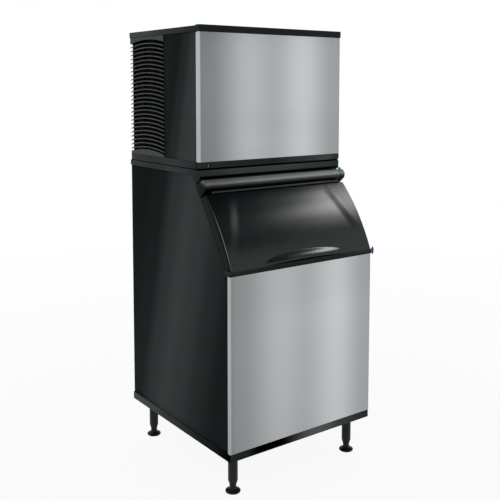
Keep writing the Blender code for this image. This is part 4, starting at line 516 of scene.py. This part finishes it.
softEdges = {  # node: width of its rounded edges
    "bin_front_panel": 0.0007, "head_front_panel": 0.0007, "front_top_trim": 0.002, "head_top_cover": 0.002,
    "bin_base_frame": 0.0009, "bin_top_frame": 0.0025, "head_base": 0.0012, "front_bottom_trim": 0.0012,
    "hinge_pin_tab": 0.001, "bin_left_panel": 0.0006, "bin_right_panel": 0.0006, "head_left_panel": 0.0006,
    "head_right_panel": 0.0006, "bin_mouth_frame": 0.0012,
}
nudges = {  # node: axis, the places along it between which corners move, and by how much
    "head_front_panel": [(1, -0.165, -0.15, -0.010)],
    "head_left_panel": [(1, -0.160, -0.155, -0.010)],
    "head_right_panel": [(1, -0.160, -0.155, -0.010)],
    "front_top_trim": [(1, -0.160, -0.150, -0.010), (2, 1.905, 1.92, 0.003)],
    "head_top_cover": [(1, -0.160, -0.150, -0.010)],
    "head_base": [(1, -0.157, -0.156, -0.0095)],
    "front_bottom_trim": [(1, -0.165, -0.15, -0.0125), (2, 1.32, 1.3275, 0.0027)],
    "bin_base_frame": [(2, 0.17, 0.175, -0.005)],
}


def makeSoft(node, width):
    bm = mergedCopy(node)
    for axis, low, high, move in nudges.get(node, []):
        for vert in bm.verts:
            if low < vert.co[axis] < high:
                vert.co[axis] += move
    bevelEdges(bm, sharpEdges(bm), width)
    makePiece(node + "_soft", bm, node)


for node, width in softEdges.items():
    makeSoft(node, width)
print("soft edges on", len(softEdges), "pieces")

# the sloped mouth, its door and its hinge
slope = {"angle": 0.971855, "footY": -0.373, "footZ": 0.942}


def onSlope(along, out):  # a place up the slope from the ledge and out from it
    y = slope["footY"] + along * math.cos(slope["angle"]) - out * math.sin(slope["angle"])
    z = slope["footZ"] + along * math.sin(slope["angle"]) + out * math.cos(slope["angle"])
    return y, z


def alongAt(height, out):
    return (height - slope["footZ"] - out * math.cos(slope["angle"])) / math.sin(slope["angle"])


def smooth(value):
    held = min(max(value, 0.0), 1.0)
    return held * held * (3.0 - 2.0 * held)


door = {
    "half": 0.377, "top": 0.316556, "topOut": 0.040, "footOut": 0.035, "back": 0.0075, "rest": 0.001,
    "bulge": 0.017, "wall": 0.0035,
    "dish": 0.0024, "ramp": 0.055, "rampDown": 1.4, "marginTop": 0.104, "marginFoot": -0.016,
    "lipHalf": 0.235, "lipCentre": 0.012, "lipHeight": 0.041, "lipOut": 0.0105, "lipSwell": 1.2, "lipEdge": 0.005,
    "lipLift": 0.004, "liftFrom": 0.8, "liftSpan": 0.2, "pocketRise": 0.014, "pocketDepth": 0.024,
    "columns": 190, "rows": 130, "crowd": 1.4, "lastRow": 0.01,  # rows crowd to the foot, the last keeps a share
    "sideRound": 0.005, "topRound": 0.003, "topAbove": 1.2,  # sharp edges above topAbove get topRound
    "sideFacing": 0.9, "edgeFacing": 0.42,  # how far a face looks aside to be a side wall or its rounded edge
}


def lipPull(x):  # 1 at the middle of the pull lip, 0 at its ends and beyond
    return 1.0 - ((x - door["lipCentre"]) / door["lipHalf"]) ** 2


def doorRelief(x, share):  # how far the dish and the pull lip move the face
    margin = door["marginTop"] + (door["marginFoot"] - door["marginTop"]) * share
    across = smooth((door["half"] - abs(x) - margin) / door["ramp"])
    down = smooth(share * door["top"] / door["ramp"] / door["rampDown"]) * (1.0 - smooth(2.0 * share - 1.0))
    fromFoot = (1.0 - share) * door["top"]
    lens = lipPull(x) - (fromFoot / door["lipHeight"]) ** 2
    return door["lipOut"] * max(lens, 0.0) ** door["lipSwell"] - door["dish"] * across * down


def rowShare(row):  # how far down the face a row lies, 0 at its top and 1 at its foot
    left = (door["rows"] - row) / (door["rows"] - 1)
    if left < 0.0:
        return 1.0
    return 1.0 - door["lastRow"] - (1.0 - door["lastRow"]) * left ** door["crowd"]


def doorPoint(x, row):  # row 0 is the back of the top edge, the last row the back of the underside
    if row == 0:
        return onSlope(door["top"], door["back"])
    rest = slope["footZ"] + door["rest"]
    foot = alongAt(rest, door["footOut"])
    pull = max(0.0, lipPull(x))
    share = rowShare(row)
    along = door["top"] + (foot - door["top"]) * share
    arc = door["bulge"] * (1.0 - (2.0 * share - 1.0) ** 2)
    out = door["topOut"] + (door["footOut"] - door["topOut"]) * share
    y, z = onSlope(along, out + arc + doorRelief(x, share))
    z += door["lipLift"] * pull * smooth((share - door["liftFrom"]) / door["liftSpan"])
    if row <= door["rows"] + 1:
        return y, z
    backY, backZ = onSlope(alongAt(rest, door["back"]), door["back"])
    limit = backY - door["lipEdge"] * 2.0
    pocketZ = z + (door["pocketRise"] - door["lipLift"]) * pull
    rear = min(y + door["lipEdge"] * 2.0 + door["pocketDepth"] * pull, limit)
    return [(y + door["lipEdge"], z), (y + door["lipEdge"] * 1.5, pocketZ), (rear, pocketZ),
            (rear + door["lipEdge"] * 0.5, rest), (backY, backZ)][row - door["rows"] - 2]


def makeDoor():
    bm = bmesh.new()
    rows = door["rows"] + 6
    bmesh.ops.create_grid(bm, x_segments=door["columns"], y_segments=rows, size=0.5)
    for vert in bm.verts:
        x = vert.co.x * 2.0 * door["half"]
        vert.co = (x, *doorPoint(x, round((0.5 - vert.co.y) * rows)))
    for side in (-door["half"], door["half"]):  # the side walls close the section's ends
        rim = [edge for edge in bm.edges if all(abs(vert.co.x - side) < 1e-6 for vert in edge.verts)]
        bmesh.ops.contextual_create(bm, geom=rim)
    outline = [edge for edge in bm.edges
               if len(edge.link_faces) == 2 and any(len(face.verts) > 4 for face in edge.link_faces)]
    bevelEdges(bm, outline, door["sideRound"], 4)
    topRow = [edge for edge in sharpEdges(bm, 50.0) if min(vert.co.z for vert in edge.verts) > door["topAbove"]]
    bevelEdges(bm, topRow, door["topRound"], 3)
    bmesh.ops.recalc_face_normals(bm, faces=bm.faces)
    for face in bm.faces:  # 1 is a side wall, 2 a rounded side edge with the painted highlight
        turn = abs(face.normal.x)
        face.material_index = int(turn > door["sideFacing"]) or 2 * int(turn > door["edgeFacing"])
    made = makePiece("doorSkin", bm, "bin_door", sharp=35.0, turnOut=False, more=["doorSide", "doorEdge"])
    wall = made.modifiers.new("wall", "SOLIDIFY")
    wall.thickness = door["wall"]
    wall.offset = -1.0


makeDoor()

hinge = {
    "place": (-0.2169, 1.260975), "radius": 0.0235, "half": 0.3498, "ease": 0.0016, "round": 96,
    "bead": (0.322556, 0.0445), "beadRadius": 0.0045, "beadHalf": 0.3452, "beadEase": 0.002, "beadRound": 32,
    "leafGap": 0.0003, "leafPast": 0.015, "leafFoot": 0.0276, "leafTop": 0.0425, "leafHalf": 0.336,
    "capOuter": 0.380, "capRound": 0.0035, "capEase": 0.0012,  # edges further out than capOuter get capRound
}


def roller(bm, radius, half, y, z, ease, segments):  # a rod along X with eased ends
    made = bmesh.ops.create_cone(bm, cap_ends=True, segments=segments, radius1=radius, radius2=radius,
                                 depth=2.0 * half)
    rims = {edge for vert in made["verts"] for edge in vert.link_edges if abs(edge.calc_face_angle(0.0)) > 1.0}
    turned = Matrix.Translation((0.0, y, z)) @ Matrix.Rotation(math.pi / 2, 4, "Y")
    bmesh.ops.transform(bm, matrix=turned, verts=made["verts"])
    bevelEdges(bm, list(rims), ease)


def makeBarrel():
    bm = bmesh.new()
    roller(bm, hinge["radius"], hinge["half"], *hinge["place"], hinge["ease"], hinge["round"])
    for vert in bmesh.ops.create_cube(bm, size=1.0)["verts"]:  # the leaf between door and barrel
        along = door["top"] + hinge["leafGap"] if vert.co.y < 0.0 else hinge["bead"][0] + hinge["leafPast"]
        out = hinge["leafFoot"] if vert.co.z < 0.0 else hinge["leafTop"]
        vert.co = (2.0 * vert.co.x * hinge["leafHalf"], *onSlope(along, out))
    makePiece("hingeBarrel", bm, "door_hinge_barrel")
    bead = bmesh.new()
    y, z = onSlope(*hinge["bead"])
    roller(bead, hinge["beadRadius"], hinge["beadHalf"], y, z, hinge["beadEase"], hinge["beadRound"])
    makePiece("hingeBead", bead, "door_hinge_barrel", "beadBlack")


def makeCap(side):
    bm = mergedCopy("hinge_end_cap_" + side)
    outer = [edge for edge in sharpEdges(bm, 40.0)
             if min(abs(vert.co.x) for vert in edge.verts) > hinge["capOuter"]]
    bevelEdges(bm, outer, hinge["capRound"], 5)
    bevelEdges(bm, sharpEdges(bm, 60.0), hinge["capEase"])
    makePiece("hingeCap_" + side, bm, "hinge_end_cap_" + side)


makeBarrel()
for side in ("left", "right"):
    makeCap(side)
print("door and hinge are made")

leg = {  # turned profiles are pairs of radius and height
    "x": 0.3167, "front": -0.3344, "rear": 0.3291, "round": 64,
    "tube": [(0.0078, 0.1717), (0.0300, 0.1717), (0.0300, 0.1677), (0.0203, 0.1677), (0.0203, 0.0500),
             (0.0152, 0.0350), (0.0142, 0.0300), (0.0142, 0.0173), (0.0078, 0.0173), (0.0078, 0.1717)],
    "foot": [(0.0, 0.0), (0.0295, 0.0), (0.0315, 0.0020), (0.0318, 0.0055), (0.0305, 0.0075), (0.0240, 0.0105),
             (0.0155, 0.0140), (0.0142, 0.0160), (0.0135, 0.0170), (0.0075, 0.0170), (0.0075, 0.1290),
             (0.0, 0.1290)],
}


def lathe(profile, x, y, segments):  # a turned form about an upright line
    bm = bmesh.new()
    verts = [bm.verts.new((radius, 0.0, z)) for radius, z in profile]
    edges = [bm.edges.new(pair) for pair in zip(verts, verts[1:])]
    bmesh.ops.spin(bm, geom=verts + edges, cent=(0.0, 0.0, 0.0), axis=(0.0, 0.0, 1.0), angle=math.tau,
                   steps=segments, use_merge=True)
    bmesh.ops.remove_doubles(bm, verts=bm.verts, dist=0.00001)
    bmesh.ops.translate(bm, verts=bm.verts, vec=(x, y, 0.0))
    return bm


def makeLeg(corner, x, y):
    makePiece("legTube_" + corner, lathe(leg["tube"], x, y, leg["round"]), "leg_" + corner, sharp=30.0)
    makePiece("levelFoot_" + corner, lathe(leg["foot"], x, y, leg["round"]), "foot_" + corner, sharp=30.0)


for end in ("front", "rear"):
    makeLeg(end + "_left", -leg["x"], leg[end])
    makeLeg(end + "_right", leg["x"], leg[end])

plug = {"rimFrom": 0.3985, "y": -0.405, "narrow": 0.6, "ease": 0.0005}


def makePlug():
    bm = mergedCopy("ledge_side_plug")
    for vert in bm.verts:
        if vert.co.x > plug["rimFrom"]:
            vert.co.y = plug["y"] + (vert.co.y - plug["y"]) * plug["narrow"]
    bevelEdges(bm, sharpEdges(bm, 50.0), plug["ease"])
    makePiece("ledgePlug", bm, "ledge_side_plug")


screw = {  # turned from its back to the floor of its dimple
    "x": 0.336, "z": 1.33965, "round": 40, "glint": -0.0016,
    "profile": [(0.0, -0.19500), (0.0062, -0.19500), (0.0062, -0.19800), (0.0053, -0.19920), (0.0042, -0.19920),
                (0.00231, -0.19640), (0.0, -0.19640)],
}


def makeScrew(side, x):
    bm = lathe(screw["profile"], 0.0, 0.0, screw["round"])
    for face in bm.faces:  # painted glint on the screw's left side, painted shade on the rest
        face.material_index = int(face.calc_center_median().x > screw["glint"])
    bmesh.ops.rotate(bm, verts=bm.verts, cent=(0.0, 0.0, 0.0), matrix=Matrix.Rotation(-math.pi / 2, 3, "X"))
    bmesh.ops.translate(bm, verts=bm.verts, vec=(x, 0.0, screw["z"]))
    makePiece("trimScrew_" + side, bm, "front_screw_" + side, sharp=35.0, more=["screwHole"])


makePlug()
makeScrew("left", -screw["x"])
makeScrew("right", screw["x"])
print("legs, feet, plug and screws are made")

# the louvred side grille
grille = {
    "face": -0.382, "inner": -0.361, "rear": 0.398, "front": 0.092, "bottom": 1.3553, "top": 1.8857,
    "header": 0.013, "sill": 0.0255, "rise": 0.015, "segments": 28, "soft": 0.0009,
    "blades": 26, "thick": 0.0042, "deep": 0.012, "lift": 0.006,
    "below": 0.56, "above": 0.92,  # gaps under the first blade and over the last, in pitches
    "stile": 0.008, "rib": 0.004, "postDeep": 0.008,
}


def arch(y):
    middle = (grille["front"] + grille["rear"]) / 2.0
    half = (grille["rear"] - grille["front"]) / 2.0
    return grille["rise"] * (1.0 - ((y - middle) / half) ** 2)


def grilleBar(bm, lowEdge, highEdge, deep, lift=0.0):  # one bar along the grille, each edge on its own rule
    low = bmesh.ops.create_grid(bm, x_segments=1, y_segments=grille["segments"], size=0.5)["verts"]
    faces = list({face for vert in low for face in vert.link_faces})
    raised = bmesh.ops.extrude_face_region(bm, geom=faces, use_keep_orig=True)["geom"]
    high = [part for part in raised if isinstance(part, bmesh.types.BMVert)]
    for verts, edge in ((low, lowEdge), (high, highEdge)):
        for vert in verts:
            y = grille["front"] + (vert.co.y + 0.5) * (grille["rear"] - grille["front"])
            inward = vert.co.x > 0.0
            vert.co = (grille["face"] + (deep if inward else 0.0), y, edge(y) + (lift if inward else 0.0))


def makeGrille():
    bm = bmesh.new()
    bottom = grille["bottom"] + grille["sill"] - grille["rise"]
    top = grille["top"] - grille["header"] - grille["rise"]
    depth = grille["inner"] - grille["face"]
    grilleBar(bm, lambda y: grille["bottom"], lambda y: bottom + arch(y), depth)
    grilleBar(bm, lambda y: top + arch(y), lambda y: grille["top"], depth)
    pitch = (top - bottom) / (grille["blades"] - 1 + grille["below"] + grille["above"])
    for number in range(grille["blades"]):
        base = bottom + pitch * (number + grille["below"]) - grille["thick"] / 2.0
        grilleBar(bm, lambda y: base + arch(y), lambda y: base + arch(y) + grille["thick"],
                  grille["deep"], grille["lift"])
    bevelEdges(bm, sharpEdges(bm, 50.0), grille["soft"])
    makePiece("grilleBars", bm, "louver_grille")


def makePosts():  # stiles at both ends and two ribs, behind the blades
    bm = bmesh.new()
    for share in (0.0, 1.0 / 3.0, 2.0 / 3.0, 1.0):
        post = bmesh.ops.create_cube(bm, size=1.0)["verts"]
        wide = grille["stile"] if share in (0.0, 1.0) else grille["rib"]
        centre = grille["front"] + wide / 2.0 + (grille["rear"] - grille["front"] - wide) * share
        bmesh.ops.scale(bm, vec=(grille["postDeep"], wide, grille["top"] - grille["bottom"]), verts=post)
        middle = (grille["top"] + grille["bottom"]) / 2.0
        bmesh.ops.translate(bm, vec=(grille["inner"] - grille["postDeep"] / 2.0, centre, middle), verts=post)
    makePiece("grillePosts", bm, "louver_grille", "innerBlack")


makeGrille()
makePosts()
print("grille has", grille["blades"], "blades")

# camera, lamps, studio, floor and card
cameraView = {
    "place": (-2.0874, -2.8833, 1.6666), "down": 5.0263, "turn": -36.087,  # metres, degrees
    "lens": 56.44, "sensor": 36.0, "shift": -0.1902,
}


def makeCamera():
    cameraData = bpy.data.cameras.new("camera")
    cameraData.lens = cameraView["lens"]
    cameraData.sensor_width = cameraView["sensor"]
    cameraData.shift_y = cameraView["shift"]
    camera = bpy.data.objects.new("camera", cameraData)
    camera.location = cameraView["place"]
    camera.rotation_euler = (math.radians(90.0 - cameraView["down"]), 0.0, math.radians(cameraView["turn"]))
    scene.collection.objects.link(camera)
    scene.camera = camera
    scene.view_settings.view_transform = "Standard"


makeCamera()

lamps = {  # name: place, target, width, height, power, seen in gloss (such a lamp lights the door and hinge alone)
    "doorLight": ((2.25, -1.06, 2.9), (0.2, -0.3, 1.15), 0.9, 0.6, 16.5, True),
    "lipLight": ((2.5, 0.0, 2.9), (0.1, -0.35, 1.0), 0.5, 0.7, 6.0, True),
    "frontFill": ((3.6, -4.6, 2.0), (0.0, 0.0, 1.0), 4.0, 3.0, 26.0, False),
    "leftFill": ((-4.2, 2.4, 2.2), (0.0, 0.0, 1.1), 4.0, 3.0, 14.0, False),
    "rearFill": ((1.2, 3.8, 2.6), (0.0, 0.3, 1.1), 3.0, 2.0, 16.0, False),
}
doorLit = bpy.data.collections.new("doorLit")
for thing in scene.objects:
    if thing.name.startswith(("door", "hinge")):
        doorLit.objects.link(thing)


def makeLamp(name, place, target, width, height, power, glossy):
    lampData = bpy.data.lights.new(name, "AREA")
    lampData.shape = "RECTANGLE"
    lampData.size = width
    lampData.size_y = height
    lampData.energy = power
    lamp = bpy.data.objects.new(name, lampData)
    lamp.location = place
    lamp.rotation_euler = (Vector(target) - Vector(place)).to_track_quat("-Z", "Y").to_euler()
    lamp.visible_camera = False
    lamp.visible_glossy = glossy
    if glossy:
        lamp.light_linking.receiver_collection = doorLit
    scene.collection.objects.link(lamp)


for name, values in lamps.items():
    makeLamp(name, *values)

studio = {"light": 0.58, "inGloss": 0.72, "inCamera": 1.0}  # the world's strength as light, in gloss, as backdrop


def makeStudio():
    world = bpy.data.worlds.new("studio")
    world.use_nodes = True
    scene.world = world
    sky = Paint(world.node_tree)
    toGloss = sky.add("LightPath", output="Is Glossy Ray")
    toCamera = sky.add("LightPath", output="Is Camera Ray")
    light = sky.add("Mix", {}, {0: toGloss, 2: studio["light"], 3: studio["inGloss"]})
    seen = sky.add("Mix", {}, {0: toCamera, 2: light, 3: studio["inCamera"]})
    background = sky.tree.nodes["Background"]
    background.inputs["Color"].default_value = (1.0, 1.0, 1.0, 1.0)
    sky.tree.links.new(seen.socket, background.inputs["Strength"])


makeStudio()

floorPad = {
    "size": 30.0, "round": 96, "drop": 0.0004, "colour": 0.86, "roughness": 0.9, "inGloss": 0.4,
    "glow": 0.92, "glowFrom": 1.2, "fullFrom": 5.0,  # it glows to the camera, fully so from some metres out
}


def makeScenery(name, bm, finish):  # an object that is no part of the machine
    mesh = bpy.data.meshes.new(name)
    bm.to_mesh(mesh)
    bm.free()
    mesh.materials.append(finish.material)
    made = bpy.data.objects.new(name, mesh)
    scene.collection.objects.link(made)
    return made


def makeFloor():
    bm = bmesh.new()
    bmesh.ops.create_circle(bm, cap_ends=True, segments=floorPad["round"], radius=floorPad["size"])
    bmesh.ops.translate(bm, verts=bm.verts, vec=(0.0, 0.0, -floorPad["drop"]))
    pale = Finish("paleFloor", (floorPad["colour"],) * 3, floorPad["roughness"], gloss=0.0)
    white = pale.add("Emission", {}, {"Color": (1.0, 1.0, 1.0, 1.0), "Strength": 1.0})
    toCamera = pale.add("LightPath", output="Is Camera Ray")
    toGloss = pale.add("LightPath", output="Is Glossy Ray")
    away = pale.add("VectorMath", {"operation": "LENGTH"}, {0: pale.place()}, "Value")
    glow = pale.spread(away, floorPad["glowFrom"], floorPad["fullFrom"], floorPad["glow"], 1.0)
    share = glow * toCamera + toGloss * floorPad["inGloss"]
    both = pale.add("MixShader", {}, {0: share, 1: Wire(pale, pale.shader.outputs[0]), 2: white})
    pale.tree.links.new(both.socket, pale.tree.nodes["Material Output"].inputs["Surface"])
    floor = makeScenery("floor", bm, pale)


makeFloor()

flag = {"low": (-1.5, -5.4), "high": (7.5, 4.0), "slant": 0.33, "height": 4.2}


def makeFlag():  # a dark card overhead, seen only by gloss, that keeps the door's face black
    bm = bmesh.new()
    bmesh.ops.create_grid(bm, x_segments=1, y_segments=1, size=0.5)
    for vert in bm.verts:
        inFront = vert.co.y < 0.0
        x, y = [(low + high) / 2.0 + part * (high - low)
                for low, high, part in zip(flag["low"], flag["high"], vert.co)]
        vert.co = (x, y + (flag["slant"] * (x - flag["low"][0]) if inFront else 0.0), flag["height"])
    card = makeScenery("flag", bm, Finish("darkCard", (0.0, 0.0, 0.0), 1.0, gloss=0.0))
    card.visible_camera = False
    card.visible_diffuse = False
    card.visible_shadow = False


makeFlag()
print("camera, lamps and floor are set")
